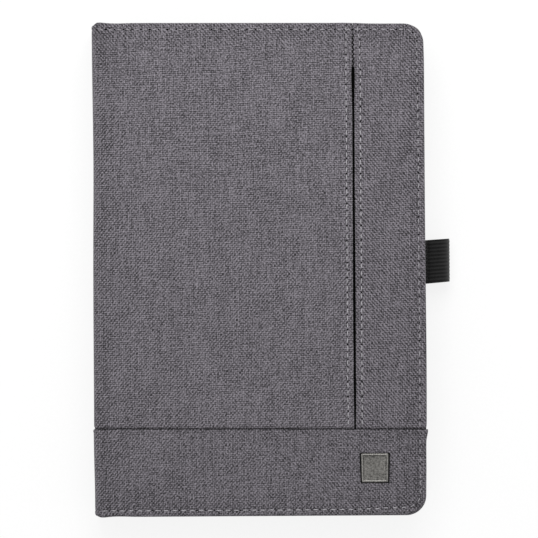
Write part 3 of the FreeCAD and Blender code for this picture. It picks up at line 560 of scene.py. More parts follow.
COVER_CLOTH = heather_cloth("cover_cloth_heather", tint(0.242, 0.225, 0.252), tint(0.0208, 0.0193, 0.0222),
                            lean=0.69, swing=2.6, weft=0.30, start=0.32)
SIDE_CLOTH = heather_cloth("side_cloth_heather", tint(0.239, 0.2215, 0.249), tint(0.020, 0.0185, 0.0214),
                           lean=0.21, swing=2.6, weft=0.26, start=0.5)
BAND_CLOTH = heather_cloth("band_cloth_heather", tint(0.235, 0.2185, 0.245), tint(0.020, 0.0186, 0.0214),
                           lean=0.58, swing=4.4, weft=0.22, start=0.32)
THREAD = sewing_thread("grey_thread", tint(0.54, 0.53, 0.555), tint(0.20, 0.19, 0.205))
# Near-black discs at the needle holes are painted shade in the holes.
NEEDLE_HOLE_SHADE = lining_suede("needle_hole_painted_shade", grey(0.005), grey(0.002), sheen=0.0)
# The pocket lining is black cloth, made far darker still as painted shade inside the slit.
POCKET_CLOTH_AND_SHADE = lining_suede("pocket_lining_black_and_shade", grey(0.003), grey(0.0012), sheen=0.0)
LINING = lining_suede("lining_suede_grey", tint(0.115, 0.112, 0.118), tint(0.06, 0.058, 0.062))
PAD = lining_suede("tray_pad_suede", tint(0.05, 0.05, 0.053), tint(0.02, 0.02, 0.022))
ELASTIC = elastic_web("elastic_black", grey(0.0165), grey(0.0008))
BADGE = pewter("badge_pewter", tint(0.335, 0.3254, 0.307), tint(0.022, 0.0213, 0.0198))
# Near-black finish for the ring under the badge, painted shadow round the plate's edge.
BADGE_SHADOW = lining_suede("badge_shadow_ring_painted", grey(0.012), grey(0.005), sheen=0.0)
KEY_PRINT = mottled("key_legend_ink", grey(0.75), grey(0.5), 1500.0, 0.5, 0.2, Specular_IOR_Level=0.3)


# The cloth cover, laid out flat with u across it and down the spine, v up the cover and n above it.
COVER = {1: "front", -1: "back"}


def spine_bow(v):
    """How far the spine's edge lies inside a straight line: most above the middle and at the tail."""
    return 0.42 * hump(v, 48.0, 34.0) + 0.36 * smooth_step((-78.0 - v) / 26.0)


def on_cover(u, v, n, face):
    """Where cloth at (u, v) and height n lies: flat right of the crease, round a quarter circle over the
    crease, and down the spine beyond. face is 1 for the front and -1 for the back, its mirror image."""
    turn = np.clip((CREASE_X - u) / CREASE_RADIUS, 0, pi / 2)
    run = np.maximum(u - CREASE_X, 0)
    fall = np.minimum(u - CREASE_X + CREASE_ARC, 0)
    bow = spine_bow(v) * np.clip((-40.0 - u) / 30.0, 0, 1)
    x = CREASE_X + run - (CREASE_RADIUS + n) * np.sin(turn) + bow
    z = COVER_TOP - CREASE_RADIUS + (CREASE_RADIUS + n) * np.cos(turn) + fall
    across = np.maximum(u, spine_low[0])
    near_seam = np.where(v > SEAM, (HEAD - v) / (HEAD - SEAM), (HEAD + v) / (HEAD + SEAM))
    head_slant = HEAD_SLANT * across * np.clip(v / HEAD, 0, 1)
    seam_slant = SEAM_SLANT * (across - SEAM_PIVOT) * np.clip(near_seam, 0, 1)
    return points_of(x, v - head_slant - seam_slant, z if face > 0 else COVER_TOP - z)


def chart_of(u, v, face):
    """The cloth's own map: the back goes on from the front round the spine."""
    return points_of(u if face > 0 else 2 * SPINE_LINE - u, v)


def sway(u, v):
    """Low waves where cloth isn't quite flat on its board."""
    long_wave = 0.05 * np.sin(u / 17 + v / 31)
    cross_wave = 0.04 * np.sin(v / 11 - u / 23 + 1)
    short_wave = 0.03 * np.sin(u / 7 + v / 9)
    return smooth_step((u - CREASE_X) / 6) * (long_wave + cross_wave + short_wave)


def sewn_shut(v):
    """1 up to the head's hem and 0 on it, where the slit is no longer drawn shut."""
    return smooth_step((HEAD - SEWN_SHUT - v) / 2.5)


def slit_half(v):
    """Half the slit's width: widest at its blunt upper end, narrow at the band, sewn shut above."""
    opened = 0.30 + 0.18 * smooth_step((v - SEAM) / 14) + 0.25 * hump(v, SLIT_END - 6.0, 9.0)
    opened = opened + 0.10 * hump(v, -14.0, 26.0) - 0.04 * hump(v, 71.0, 8.0)
    sewn = (0.27 + 0.1 * np.sin(v * 6.0 + 1.2)) * sewn_shut(v)
    return sewn + (opened - sewn) * smooth_step((SLIT_END + 0.2 - v) / 0.9)


def slit_zigzag(v):
    """Sideways wander of the slit where whip stitches draw it shut."""
    return 0.3 * np.sin(v * 3.0) * smooth_step((v - SLIT_END) / 1.0) * sewn_shut(v)


def hem_profile(stitch):
    """Across a turned hem: distance from the edge, height, and length of cloth so far. It is level, dips at
    the stitching, goes round a quarter circle, down the side and under."""
    turn = np.linspace(0, pi / 2, 7)
    ease = HEM_DIP / 3
    inset = np.concatenate([[HEM, stitch + 0.3, stitch, stitch - 0.3, stitch - 0.7, EDGE_ROUND + 0.4],
                            EDGE_ROUND * (1 - np.sin(turn)), [0, 0, 0.25, 1.3]])
    rise = np.concatenate([[0, -ease, -HEM_DIP, -ease, ease, ease],
                           EDGE_ROUND * (np.cos(turn) - 1), [-1.9, 0.3 - HEM_DEPTH, -HEM_DEPTH, -HEM_DEPTH]])
    return inset, rise, run_along(inset, rise)


# A folded edge, as distances from its fold and heights, from the upper side round the fold and back under.
FOLD_INSET = np.array([1.2, 0.85, 0.5, 0.25, 0.08, 0.0, 0.05, 0.4, 1.2])
FOLD_RISE = np.array([0.03, 0.05, -0.02, -0.15, -0.35, -0.55, -0.8, -0.92, -0.95])


def head_pull(u, up, face):
    """How far the hem at head or tail stands out: over the slit's folds and beside the crease, less at the
    spine and along the pocket's side."""
    tuck = 1.0 if up > 0 else 0.45
    folds = 0.28 * hump(u, SLIT, 5) - 0.3 * smooth_step((u - SLIT + 6) / 6)
    beside_crease = 0.25 * hump(u, CREASE_X + 0.8, 2.4) - 0.2 * hump(u, CREASE_X + 8.0, 5)
    at_spine = tuck * smooth_step((CREASE_X - 0.6 - u) / 3.2)
    return folds * (face > 0) * (up > 0) + beside_crease - at_spine


def side_pull(v):
    """The upper panels' free edge: inside the board's line, fullest low down, drawn in at seam and head."""
    low_down = 0.33 * hump(v, -42.0, 45.0)
    at_seam = 0.3 * smooth_step((SEAM + 3.0 - v) / 4.0)
    at_head = 0.25 * smooth_step((v - HEAD + 21.0) / 16.0)
    return low_down - 0.4 - at_seam - at_head


def band_pull(v):
    """The free edge of the band, which stands out where it is folded over the seam."""
    return 0.8 * hump(v, BAND_SEAM + 0.6, 3.0) - 0.42 - 0.2 * smooth_step((v - HEAD + 23.0) / 18.0)


def cover_panel(face, up, u_lines, u_rise, v_lines, v_rise, edge_pull=None, slit=0):
    """One panel of cover cloth. v runs from its seam to its hem edge, and up is -1 where it hangs below its
    seam. edge_pull says how far a hemmed free edge stands out; rows near the hem then end on a circle. slit
    is -1 or 1 where the panel's side is the slit's left or right fold."""
    u, v = crossed(u_lines, v_lines)
    inner = CORNER - HEM
    past = v_lines - (HEAD - CORNER)
    sideways, upwards = rounded_end(past, inner), np.clip(past, 0, inner)
    if edge_pull:
        hold, edge = FREE_EDGE - CORNER_HOLD, FREE_EDGE - HEM
        share = np.clip((u - hold) / (edge - hold), 0, 1)
        u = u + share * (FREE_EDGE - CORNER + sideways + edge_pull(v_lines) - edge)
    if slit:
        give = np.clip(1 - np.abs(u - SLIT) / SLIT_GIVE, 0, 1)
        u = u + (slit * slit_half(up * v) + slit_zigzag(up * v)) * give
    pressed = 0.9 * smooth_step((v - (HEAD - 6.5)) / 3.0) * (slit != 0)
    n = u_rise[:, None] * (1 - pressed) + v_rise + sway(u, up * v)
    turned = up * face < 0
    panel = (on_cover(u, up * v, n, face), chart_of(u, up * v, face), turned)

    laid = np.stack([u, v, n])
    path = laid[:, ::-1, -1]
    out_u, out_v = np.zeros(len(u_lines)), np.ones(len(u_lines))
    if edge_pull:
        path = np.concatenate([laid[:, -1, :-1], path], axis=1)
        out_u = np.concatenate([sideways[:-1] / inner, out_u])
        out_v = np.concatenate([upwards[:-1] / inner, out_v])
    path_u, path_v, path_n, out_u, out_v = (value[:, None] for value in (*path, out_u, out_v))
    inset, rise, run = hem_profile(HEM_STITCH)
    reach = HEM - (inset + (hem_profile(SIDE_STITCH)[0] - inset) * out_u)
    pull = head_pull(path_u, up, face) * np.clip(reach / HEM, 0, 1)
    hem = on_cover(path_u + out_u * reach, up * (path_v + out_v * (reach + pull)), path_n + rise, face)
    chart = chart_of(path_u + out_u * run, up * (path_v + out_v * run), face)
    return [panel, (hem, chart, not turned)]


def tucked(v):
    """Cloth that dips and goes under the band at the seam, v being its distance above the seam."""
    return -0.55 * smooth_step((1.5 - v) / 1.5) - 0.55 * smooth_step((0.5 - v) / 0.45)


# Rows and columns of the cover's panels, as runs with a step, closer where the cloth bends.
flat_from = CREASE_X + 6.0
near_slit = SLIT - 12.6
near_free = FREE_EDGE - CORNER
corner_hold = FREE_EDGE - CORNER_HOLD
near_corner = HEAD - CORNER
SPINE_RUNS = [(SPINE_LINE, CREASE_X - CREASE_ARC, 1.5), (CREASE_X - CREASE_ARC, CREASE_X, 0.33),
              (CREASE_X, flat_from, 0.8)]
FREE_RUN = (near_free, FREE_EDGE - HEM, 0.6)
corner_rows = near_corner + (CORNER - HEM) * np.sin(np.linspace(0, pi / 2, 15))

above = ruled((SEAM - 0.6, SEAM + 2.0, 0.13), (SEAM + 2.0, SEAM + 3.0, 0.25),
              (SEAM + 3.0, SLIT_END - 15.3, 2.2), (SLIT_END - 15.3, SLIT_END - 3.3, 0.6),
              (SLIT_END - 3.3, near_corner, 0.3))
above = np.concatenate([above[:-1], corner_rows])
above_rise = tucked(above - SEAM)

below = ruled((BAND_SEAM + 1.6, BAND_SEAM + 6, 0.6), (BAND_SEAM + 6, near_corner - 6, 2.2),
              (near_corner - 6, near_corner, 0.55))
below = np.concatenate([BAND_SEAM + FOLD_INSET[::-1], below[:-1], corner_rows])
below_rise = np.concatenate([FOLD_RISE[::-1] + 0.12, np.zeros(len(below) - len(FOLD_RISE))])
below_rise = below_rise + BAND_RISE * (0.45 + 0.55 * np.exp(-(below - BAND_SEAM) / 6))

main_u = ruled(*SPINE_RUNS, (flat_from, near_slit, 2.2), (near_slit, SLIT - 1.3, 0.6))
main_lines = np.concatenate([main_u, SLIT - FOLD_INSET])
main_rise = np.concatenate([-STITCH_DIP * hump(main_u, SLIT - SLIT_STITCH, 0.5), FOLD_RISE])

side_u = ruled((SLIT + 1.3, SLIT + 6, 0.6), (SLIT + 6, near_free, 2.0), FREE_RUN)
side_lines = np.concatenate([SLIT + FOLD_INSET[::-1], side_u])
side_rise = np.concatenate([FOLD_RISE[::-1], -STITCH_DIP * hump(side_u, SLIT + SLIT_STITCH, 0.5)])

whole_u = ruled(*SPINE_RUNS, (flat_from, corner_hold, 2.2), (corner_hold, near_free, 1.5), FREE_RUN)
whole_rise = np.zeros(len(whole_u))


# Where cloth bends at the crease: on the spine and on the cover, an x and a depth under the outer face.
CLOTH_BEND = ((spine_low[0], CREASE_RADIUS), (CREASE_X, 0.0))
LINING_BEND = tuple((CREASE_X + way, CREASE_RADIUS - way) for way in (-BEND_HALF, BEND_HALF))


def glued_cloth(name, patches, finish, slot, face, flat, *replaced, bend=CLOTH_BEND):
    """Cloth that is glued to a board and is shaped round the crease between the cover and the spine."""
    made = piece(name, patches, finish)
    spine_end, cover_end = ((x * MILLIMETRE, 0.0, (COVER_TOP - depth if face > 0 else depth) * MILLIMETRE)
                            for x, depth in bend)
    if face > 0:
        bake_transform(made)
        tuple(spine_end)
        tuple(cover_end)
    else:
        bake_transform(made)
        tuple(cover_end)
        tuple(spine_end)
    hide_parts(*replaced)


glued_cloth("front_main_cloth", cover_panel(1, 1, main_lines, main_rise, above, above_rise, slit=-1),
            COVER_CLOTH, "cover_cloth", 1, (0.132, 0.192),
            "front_main_fabric", "spine_fabric", "crease_front")

patches = cover_panel(1, 1, side_lines, side_rise, above, above_rise, side_pull, slit=1)
front_side = piece("front_side_cloth", patches, SIDE_CLOTH)
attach(front_side, "front")
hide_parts("front_side_fabric")

glued_cloth("front_band_cloth", cover_panel(1, -1, whole_u, whole_rise, below, below_rise, band_pull),
            BAND_CLOTH, "band_cloth", 1, (0.168, 0.046), "front_band", "spine_band")
glued_cloth("back_main_cloth", cover_panel(-1, 1, whole_u, whole_rise, above, above_rise, side_pull),
            COVER_CLOTH, "cover_cloth", -1, (0.168, 0.192), "back_fabric", "crease_back")
glued_cloth("back_band_cloth", cover_panel(-1, -1, whole_u, whole_rise, below, below_rise * 0.3, band_pull),
            BAND_CLOTH, "band_cloth", -1, (0.168, 0.046), "back_band")


# Stitching.
def along_line(line_u, line_v, pitch):
    """Middles of stitches along a line of points, and its direction there, each shaped [k, 1, 1]."""
    run = run_along(line_u, line_v)
    count = int(run[-1] // pitch)
    middle = (np.arange(count) + 0.5) * run[-1] / count
    behind, here, ahead = (np.array([np.interp(middle + step, run, line) for line in (line_u, line_v)])
                           for step in (-0.2, 0.0, 0.2))
    way = (ahead - behind) / np.hypot(*(ahead - behind))
    return [value[:, None, None] for value in (*here, *way)]


def hem_path():
    """Hem stitches from crease to crease, up the free side, with a quarter circle at each corner."""
    radius = CORNER - HEM_STITCH
    right, top, start = FREE_EDGE - SIDE_STITCH - EDGE_DRAW, HEAD - HEM_STITCH, CREASE_X - 0.5
    turn = np.linspace(0, pi / 2, 40)
    arc_u, arc_v = right - radius + radius * np.cos(turn), top - radius + radius * np.sin(turn)
    line_u = np.concatenate([[start], arc_u[::-1], arc_u, [start]])
    line_v = np.concatenate([[-top], -arc_v[::-1], arc_v, [top]])
    return along_line(line_u, line_v, HEM_PITCH)


def sewn_row(name, u, v, n, chart, turned, finish, weld, face):
    """Small grids laid on the cover as one piece."""
    grid = on_cover(u, v, n + sway(u, v), face)
    patches = [(points, places, turned) for points, places in zip(grid, chart)]
    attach(piece(name, patches, finish, weld=weld), COVER[face])


def stitch_row(name, u, v, du, dv, length, rise, face):
    """Stitches as low arched tubes: half a circle across, swelling by the root of 1.05 - a^4 along each."""
    number = np.arange(len(u))[:, None, None]
    along, around = crossed(np.linspace(-1, 1, 7), np.linspace(0, pi, 5))
    swell = np.sqrt(np.clip(1.05 - along**4, 0, 1))
    ahead = along * length / 2
    beside = np.cos(around) * THREAD_WIDTH / 2 * swell
    lift = np.sin(around) * THREAD_HEIGHT * swell - THREAD_SINK * along**4
    aside = beside + 0.05 * np.sin(number * 2.4)
    at_u = u + du * ahead - dv * aside
    at_v = v + dv * ahead + du * aside
    chart = points_of(ahead + number * 7.0, beside)
    sewn_row(name, at_u, at_v, rise + lift, chart, face > 0, THREAD, 0, face)


def hole_row(name, u, v, du, dv, pitch, rise, face):
    """Needle holes halfway between stitches: small dished discs of eight points, larger along the head. They
    are near black, as painted shade in the holes.
    """
    number = np.arange(len(u))[:, None, None]
    ring, turn = crossed(np.array([0.0, 0.2, HOLE_RADIUS]), np.linspace(0, 2 * pi, 9))
    at_head = v > HEAD - HEM
    size = 0.88 + 0.2 * np.sin(number * 2.7) + (0.15 + 0.2 * smooth_step((-25.0 - u) / 15)) * at_head
    at_u = u + du * pitch / 2 + size * ring * np.cos(turn) * 1.15
    at_v = v + dv * pitch / 2 + size * ring * np.sin(turn) * (0.9 - 0.2 * at_head)
    at_n = rise + 0.03 - 0.05 * (1 - ring / HOLE_RADIUS)
    sewn_row(name, at_u, at_v, at_n, points_of(at_u, at_v), face < 0, NEEDLE_HOLE_SHADE, 1e-7, face)


for face, cover in COVER.items():
    u, v, du, dv = hem_path()
    at_side = u > FREE_EDGE - 5
    tail_slant = TAIL_STITCH_SLANT * smooth_step((u - FREE_EDGE + 40) / 38) * (v < SEAM - 25)
    v = v + tail_slant - 0.2 * (v > HEAD - 4)
    u = u + (0.15 * hump(v, -40.0, 30.0) - 0.4 * smooth_step((v - HEAD + 49) / 30)) * at_side
    rise = -STITCH_DIP + 0.1 * (v < SEAM) * (face > 0) - 0.1 * (v > HEAD - 5)
    stitch_row(cover + "_hem_stitches", u, v, du, dv, HEM_LENGTH, rise, face)
    hole_row(cover + "_hem_needle_holes", u, v, du, dv, HEM_PITCH, rise * 0.3 + 0.05, face)

for way, label in ((-1, "left"), (1, "right")):
    line_v = np.linspace(SEAM + 1.5, HEAD - 1.0, 60)
    drawn_in = 0.9 * (way > 0) * smooth_step((line_v - HEAD + 11) / 10)
    line_u = SLIT + way * (SLIT_STITCH + 0.35 * slit_half(line_v)) - drawn_in
    u, v, du, dv = along_line(line_u, line_v, SLIT_PITCH)
    rise = -STITCH_DIP / 2
    stitch_row("slit_stitches_" + label, u, v, du, dv, SLIT_LENGTH, rise, 1)
    hole_row("slit_needle_holes_" + label, u, v, du, dv, SLIT_PITCH, rise + 0.03, 1)


# Linings inside the cover.
def on_lining(u, v, n, face):
    """Lining from the middle of the spine, round the inner corner and out over the board. u runs along it,
    zero at the corner; n stands away from the board."""
    level = lining_low[2] if face > 0 else back_lining_high[2]
    half = LINING_EASE * pi / 4
    turn = np.clip(0.5 + u / (2 * half), 0, 1) * pi / 2
    round_x, round_z = LINING_EASE * (1 - np.cos(turn)), LINING_EASE * (1 - np.sin(turn))
    x = spine_lining_high[0] + n + round_x + np.maximum(u - half, 0) - n * np.sin(turn)
    z = level - face * (round_z + np.maximum(-u - half, 0) + n * np.sin(turn))
    return points_of(x, v, z)


def lining_sheet(name, face, *replaced):
    """Lining of one cover and half the spine, with its rim pressed down and its free corners rounded."""
    reach = lining_high[0] - spine_lining_high[0]
    half = lining_high[1]
    spine_part = lining_low[2] - COVER_TOP / 2 + LINING_LAP
    near_edge, near_end, fine = reach - 8, half - 8, 0.5
    u_lines = ruled((-spine_part, -1.0, 1.5), (-1.0, 1.0, 0.12), (1.0, near_edge, 3.0),
                    (near_edge, reach, fine))
    v_lines = ruled((-half, -near_end, fine), (-near_end, near_end, 4.0), (near_end, half, fine))
    u, v = crossed(u_lines, v_lines)
    edge = reach - LINING_CORNER + rounded_end(np.abs(v_lines) - (half - LINING_CORNER), LINING_CORNER)
    u = u + np.clip((u - (reach - 20)) / 20, 0, 1) * (edge - reach)
    rim = np.minimum(half - np.abs(v), edge - u)
    n = -0.25 * (1 - smooth_step(rim / 0.9)) + 0.02 * np.sin(u / 13 + v / 21)
    patch = (on_lining(u, v, n, face), points_of(u, v), face > 0)
    glued_cloth(name, [patch], LINING, "lining_cloth", face, (0.156, 0.22), *replaced, bend=LINING_BEND)


lining_sheet("front_lining_suede", 1, "front_lining", "spine_lining")
lining_sheet("back_lining_suede", -1, "back_lining")


def flat_sheet(name, low, high, level, radius, finish, node, body, crown):
    """A level sheet with rounded corners that stands a little higher away from its edge."""
    middle, half = (low + high) / 2, (high - low) / 2
    a = ruled((-1, -0.9, 0.02), (-0.9, 0.9, 0.1), (0.9, 1, 0.02))
    u, v = crossed(a * half[0], a * half[1])
    u = u * (half[0] - radius + rounded_end(np.abs(v) - (half[1] - radius), radius)) / half[0]
    rim = np.minimum(half[1] - np.abs(v), half[0] - np.abs(u))
    z = level - crown * (1 - smooth_step(rim / 1.2))
    grid = points_of(middle[0] + u, middle[1] + v, z)
    made = piece(name, [(grid, grid[..., :2], False)], finish)
    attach(made, body)
    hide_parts(node)
    return made


# Black lining, darker than black cloth as painted shade inside the slit.
pocket = flat_sheet("pocket_lining_cloth", pocket_low + POCKET_MARGIN, pocket_high - POCKET_MARGIN,
                    pocket_high[2] - 0.1, CORNER, POCKET_CLOTH_AND_SHADE, "pocket_lining", "front", crown=0.0)
pad = flat_sheet("tray_pad_suede", pad_low, pad_high, pad_high[2], PAD_CORNER, PAD, "tray_pad", "tray",
                 crown=0.25)


# Pen loop.
def pen_loop():
    """Ribbed elastic: a flattened loop across the edge, with its tail under the cover. Its section is two
    level runs joined by half circles; across the width, ribs are sine waves, and it leans up the edge."""
    tail, near, far = loop_low[0], loop_low[0] + LOOP_TAIL, loop_high[0] + 0.35
    bottom, top = loop_low[2], loop_high[2]
    turn = np.linspace(-pi / 2, pi / 2, 25)
    round_z = (bottom + top) / 2 + (top - bottom) / 2 * np.sin(turn)
    far_x = far - LOOP_ROUND + LOOP_ROUND * np.cos(turn)
    near_x = near + LOOP_NEAR_ROUND - LOOP_NEAR_ROUND * np.cos(turn)
    lower = spaced(tail, far - LOOP_ROUND, 1.0)[:-1]
    upper = spaced(far - LOOP_ROUND, near + LOOP_NEAR_ROUND, 1.0)[1:-1]
    path_x = np.concatenate([lower, far_x, upper, near_x[::-1][:-3]])
    path_z = np.concatenate([lower * 0 + bottom, round_z, upper * 0 + top, round_z[::-1][:-3]])
    along = run_along(path_x, path_z)
    step_x, step_z = np.gradient(path_x), np.gradient(path_z)
    size = np.hypot(step_x, step_z)
    out_x, out_z = step_z / size, -step_x / size

    across = spaced(loop_low[1] - 0.4, loop_high[1], 0.14)
    ribs = 0.05 * np.cos((across - across[0]) * 2 * pi / RIB_PITCH)
    edge = np.minimum(across - across[0], across[-1] - across)
    ribs = ribs - 0.18 * (1 - smooth_step(edge / 0.5))
    chart = points_of(along[:, None], across - across[0])

    def skin(lift):
        """One side of the elastic, lifted off its path."""
        x = path_x[:, None] + out_x[:, None] * lift
        z = path_z[:, None] + out_z[:, None] * lift
        y = across + LOOP_LEAN * np.clip(x - FREE_EDGE, -2, 20) - 0.6
        y = y - 0.012 * (x - FREE_EDGE) * (across - across.mean()) / 10
        return points_of(x, y, z)

    outer, inner = skin(ribs), skin(-ribs - LOOP_WALL)
    patches = [(outer, chart, True), (inner, chart, False)]
    both, charts = np.stack([outer, inner], axis=2), np.stack([chart, chart], axis=2)
    for place, turned in ((0, False), (-1, True)):
        patches.append((both[:, place], charts[:, place], turned))
        patches.append((both[place], charts[place], not turned))
    made = piece("pen_loop_elastic", patches, ELASTIC)
    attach(made, "back")
    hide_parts("pen_loop")


pen_loop()


# Badge.
def badge():
    """A bare cast plate over a near-black ring that is painted shadow round its edge: rounded squares, one
    inside the next, that rise from the band, turn over a bevelled frame and drop to a flat field. It narrows
    a little downwards."""
    middle, half = (badge_low + badge_high) / 2, (badge_high - badge_low) / 2
    turn = np.linspace(0, 2 * pi, 193)
    shape = rounded_square(turn, 44.0)

    def nested(name, side, end, inset, height, finish):
        """Rounded squares inside a margin at the sides and ends, each with its own inset and height."""
        inset, height = np.array(inset)[:, None], np.array(height)[:, None]
        across = np.maximum(half[0] - side - inset, 0.0) * shape * np.cos(turn)
        along = np.maximum(half[1] - end - inset, 0.0) * shape * np.sin(turn)
        x = middle[0] + across * (1 + BADGE_TAPER * along / half[1])
        grid = points_of(x, middle[1] + along, badge_high[2] + height)
        chart = points_of(inset, 5 * turn)
        made = piece(name, [(grid, chart, True)], finish)
        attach(made, "front")
        return made

    frame_inset = [0.0, 0.0, 0.1, 0.25, 0.6, 0.75, 0.95, 1.2]
    frame_height = [-1.2, -0.4, -0.15, -0.02, 0.0, -0.05, -0.22, -0.26]
    field_inset, field_height = [3.0, 5.0, half[1]], [-0.25, -0.24, -0.24]
    plate = nested("badge_blank", 0.6, 0.35, frame_inset + field_inset, frame_height + field_height, BADGE)
    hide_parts("badge_plate")
    # A near-black ring under the plate's edge, painted shadow where the plate meets the band.
    shadow_inset, shadow_height = [0.0, 0.0, 0.1, 1.6, half[1]], [-1.2, -0.62, -0.56, -0.56, -0.56]
    nested("badge_bed", 0.0, 0.0, shadow_inset, shadow_height, BADGE_SHADOW)


badge()


# Finishes of the parts that the frame gives, by their slots.
RUBBER = moulded("bumper_rubber", grey(0.02), grey(0.01), 0.75, 1500.0)
SLOT_FINISH = {
    "tray_plastic": moulded("tray_plastic_textured", tint(0.03, 0.03, 0.032), tint(0.014, 0.014, 0.015), 0.5),
    "deck_plastic": moulded("deck_plastic_textured", tint(0.045, 0.045, 0.048), tint(0.022, 0.022, 0.024),
                            0.48),
    "key_plastic": moulded("key_plastic_satin", tint(0.026, 0.026, 0.028), tint(0.013, 0.013, 0.014), 0.42,
                           grain=3200.0, depth=0.000012),
    "touchpad_face": moulded("touchpad_satin", tint(0.036, 0.036, 0.039), tint(0.024, 0.024, 0.026), 0.3,
                             grain=4200.0, depth=0.000005),
    "rubber": RUBBER,
    "cover_board": moulded("grey_board", tint(0.3, 0.28, 0.25), tint(0.18, 0.165, 0.145), 0.9,
                           grain=700.0, depth=0.00004),
    "tape": moulded("foam_tape", grey(0.03), grey(0.012), 0.85, 900.0, 0.00004),
    "steel": brushed_metal("hinge_steel", grey(0.62), grey(0.4), 0.34),
    "magnet": brushed_metal("magnet_nickel", grey(0.66, 0.02), grey(0.48, 0.02), 0.22, (60.0, 60.0, 60.0)),
    "battery_foil": brushed_metal("battery_foil", grey(0.7), grey(0.5), 0.3, (120.0, 120.0, 120.0)),
    "circuit": printed_circuit("circuit_green", tint(0.05, 0.18, 0.07), tint(0.005, 0.045, 0.02)),
    "light_pipe": mottled("status_light_pipe", tint(0.85, 0.9, 0.88), tint(0.55, 0.62, 0.6), 1800.0,
                          0.35, 0.3, Transmission_Weight=0.35, IOR=1.49),
    "cover_cloth": COVER_CLOTH, "band_cloth": BAND_CLOTH, "lining_cloth": LINING, "elastic": ELASTIC,
    "badge_metal": BADGE,
}
for node in frame["nodes"].values():
    for slot in node.material_slots:
        slot.material = SLOT_FINISH[slot.material.name.split(".")[0]]


# Key legends and domes: sizes in millimetres.
KEY_CLEARANCE = 0.4
LEGEND_LIFT = 0.012
LETTER_SIZE = 5.0
WORD_SIZE = 3.2
DOME_SHEET_GAUGE = 0.4
DOME_FOOT = 2.35


def plain(names):
    """Keys of one pitch that move with their row."""
    return [(name, 1) for name in names]


# Each row's keys from the left: legend, width in key pitches, and the key's own body where it has one.
KEY_ROWS = [
    ("key_row_function", plain("F1 F2 F3 F4 F5 F6 F7 F8 F9 F10 F11 F12".split())),
    ("key_row_numbers", plain("1234567890-") + [("del", 1, "backspace_key")]),
    ("key_row_upper", [("tab", 1, "tab_key")] + plain("QWERTYUIOP[")),
    ("key_row_home", [("caps", 1.25, "caps_key")] + plain("ASDFGHJKL") + [("enter", 1.75, "enter_key")]),
    ("key_row_lower", [("shift", 1.75, "left_shift_key")] + plain("ZXCVBNM,.")
     + [("shift", 1.25, "right_shift_key")]),
    ("key_row_bottom", plain(["fn", "ctrl", "home"]) + [("alt", 1.25), ("", 3.5, "space_bar"), ("alt", 1.25)]
     + plain(["ctrl", "<", "", ">"])),
]


def legend(text, x, y, size, level):
    """Text as a flat mesh on a key top, reading from the keyboard's left to right, faces away from it.
    Triangles of no area are left out."""
    curve = bpy.data.curves.new("legend", "FONT")
    curve.body = text
    curve.size = size
    curve.align_x = curve.align_y = "CENTER"
    curve.resolution_u = 3
    holder = bpy.data.objects.new("legend", curve)
    mesh = bpy.data.meshes.new_from_object(holder)
    points = np.empty((len(mesh.vertices), 3))
    mesh.vertices.foreach_get("co", points.ravel())
    mesh.calc_loop_triangles()
    faces = np.empty((len(mesh.loop_triangles), 3), dtype=np.int32)
    mesh.loop_triangles.foreach_get("vertices", faces.ravel())
    placed = points_of(x - points[:, 1], y - points[:, 0], level)
    corners = placed[faces]
    area = np.linalg.norm(np.cross(corners[:, 1] - corners[:, 0], corners[:, 2] - corners[:, 0]), axis=1)
    bpy.data.batch_remove([holder, curve, mesh])
    return placed, faces[area > 1e-4]


def key_places():
    """Each key's body, legend and middle, row by row from the left."""
    field_low, field_high = box("key_row_function")
    pitch = (field_high[1] - field_low[1] + 2 * KEY_CLEARANCE) / len(KEY_ROWS[0][1])
    for row, keys in KEY_ROWS:
        low, high = box(row)
        y = field_high[1] + KEY_CLEARANCE
        for text, width, *body in keys:
            yield body[0] if body else row, text, (low[0] + high[0]) / 2, y - width * pitch / 2
            y -= width * pitch


def key_legends():
    """Legends of each key body, gathered into one piece that moves with it."""
    level = box("key_row_function")[0][2] - LEGEND_LIFT
    gathered = {}
    for owner, text, x, y in key_places():
        if text:
            size = LETTER_SIZE if len(text) == 1 else WORD_SIZE
            gathered.setdefault(owner, []).append(legend(text, x, y, size, level))
    for owner, made in gathered.items():
        start = np.cumsum([0] + [len(points) for points, _ in made])
        points = np.concatenate([points for points, _ in made])
        faces = np.concatenate([faces + offset for (_, faces), offset in zip(made, start)])
        ink = solid_piece(owner + "_legends", points, faces, KEY_PRINT, smooth=False, weld=0)
        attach(ink, owner)


key_legends()


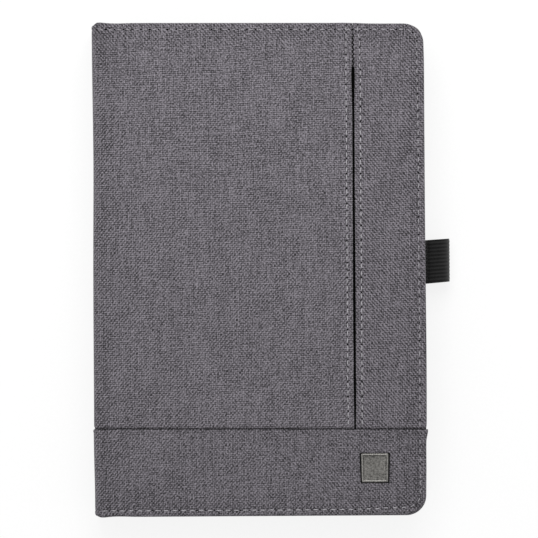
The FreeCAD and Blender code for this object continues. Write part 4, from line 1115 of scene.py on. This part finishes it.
def key_domes():
    """Rubber domes on a sheet, one under each key. The sheet is rounded rectangles, one inside the next,
    round its rim. A dome is a profile turned about the key's middle."""
    low, high = box("dome_sheet")
    middle, half = (low + high) / 2, (high - low) / 2
    face = high[2] - DOME_SHEET_GAUGE
    turn = np.linspace(0, 2 * pi, 65)
    shape = rounded_square(turn, 30)
    upper_inset = [half[0], 20.0, 1.0, 0.15, 0.0]
    inset = np.array(upper_inset + upper_inset[::-1])[:, None]
    level = np.array([high[2]] * 4 + [high[2] - 0.1, face + 0.1] + [face] * 4)[:, None]
    x = middle[0] + (half[0] - inset) * shape * np.cos(turn)
    y = middle[1] + (half[1] - inset) * shape * np.sin(turn)
    grid = points_of(x, y, level)
    sheet = piece("dome_rubber_sheet", [(grid, grid[..., :2], False)], RUBBER)
    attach(sheet, "front")
    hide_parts("dome_sheet")

    radius = DOME_FOOT * np.array([1.0, 0.96, 0.85, 0.74, 0.62, 0.0])[:, None]
    rise = (face - low[2]) * np.array([0.0, 0.16, 0.55, 0.92, 1.0, 1.0])[:, None]
    turn = np.linspace(0, 2 * pi, 15)
    round_x, round_y = radius * np.cos(turn), radius * np.sin(turn)
    gathered = {}
    for owner, _, x, y in key_places():
        grid = points_of(x + round_x, y + round_y, face - rise)
        gathered.setdefault(owner, []).append((grid, grid[..., :2], False))
    for owner, patches in gathered.items():
        domes = piece(owner + "_domes", patches, RUBBER)
        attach(domes, "front")
        owner + "_press"
        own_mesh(domes)


key_domes()

# Floor, light and camera: the floor in millimetres, the rest in metres, watts and degrees.
FLOOR_HALF = 3000
FLOOR_LEVEL = -0.35
WORLD_STRENGTH = 0.63
FRAME_WIDTH = 0.2420
CAMERA_DISTANCE = 1.8
CAMERA_ASIDE = 0.00425
CAMERA_UP = 0.0002
CAMERA_ROLL = -0.36


def floor():
    """A wide pale sheet, just under the case."""
    span = np.linspace(-FLOOR_HALF, FLOOR_HALF, 9)
    x, y = crossed(span, span)
    grid = points_of(x, y, FLOOR_LEVEL)
    f = Finish("floor_paper", Roughness=0.9, Specular_IOR_Level=0.1, Emission_Strength=0.84)
    tooth = f.noise(f.place(), 900.0, 2.0)
    f.set(Emission_Color=f.blend(tooth, grey(0.98), grey(1.0)))
    piece("floor", [(grid, grid[..., :2], False)], f.done(tooth, grey(0.15), grey(0.16)))


floor()


def lamp(name, place, size, power):
    """A square soft light that faces the origin."""
    light = bpy.data.lights.new(name, "AREA")
    light.size = size
    light.energy = power
    made = bpy.data.objects.new(name, light)
    made.location = place
    x, y, z = place
    made.rotation_euler = (math.atan2(math.hypot(x, y), z), 0, math.atan2(-y, -x) - pi / 2)
    bpy.context.scene.collection.objects.link(made)


lamp("key_light", place=(0.0, 0.42, 0.5), size=0.5, power=3.25)
lamp("fill_light", place=(-0.8, -0.5, 1.2), size=1.3, power=2.7)

world = bpy.data.worlds.new("studio")
world.use_nodes = True
sky = world.node_tree.nodes["Background"].inputs
sky["Color"].default_value = grey(1.0)
sky["Strength"].default_value = WORLD_STRENGTH
bpy.context.scene.world = world
bpy.context.scene.view_settings.view_transform = "Standard"

camera = bpy.data.cameras.new("camera")
camera.lens = camera.sensor_width * CAMERA_DISTANCE / FRAME_WIDTH
eye = bpy.data.objects.new("camera", camera)
eye.location = (CAMERA_ASIDE, CAMERA_UP, COVER_TOP * MILLIMETRE + CAMERA_DISTANCE)
eye.rotation_euler = (0, 0, math.radians(CAMERA_ROLL))
bpy.context.scene.collection.objects.link(eye)
bpy.context.scene.camera = eye
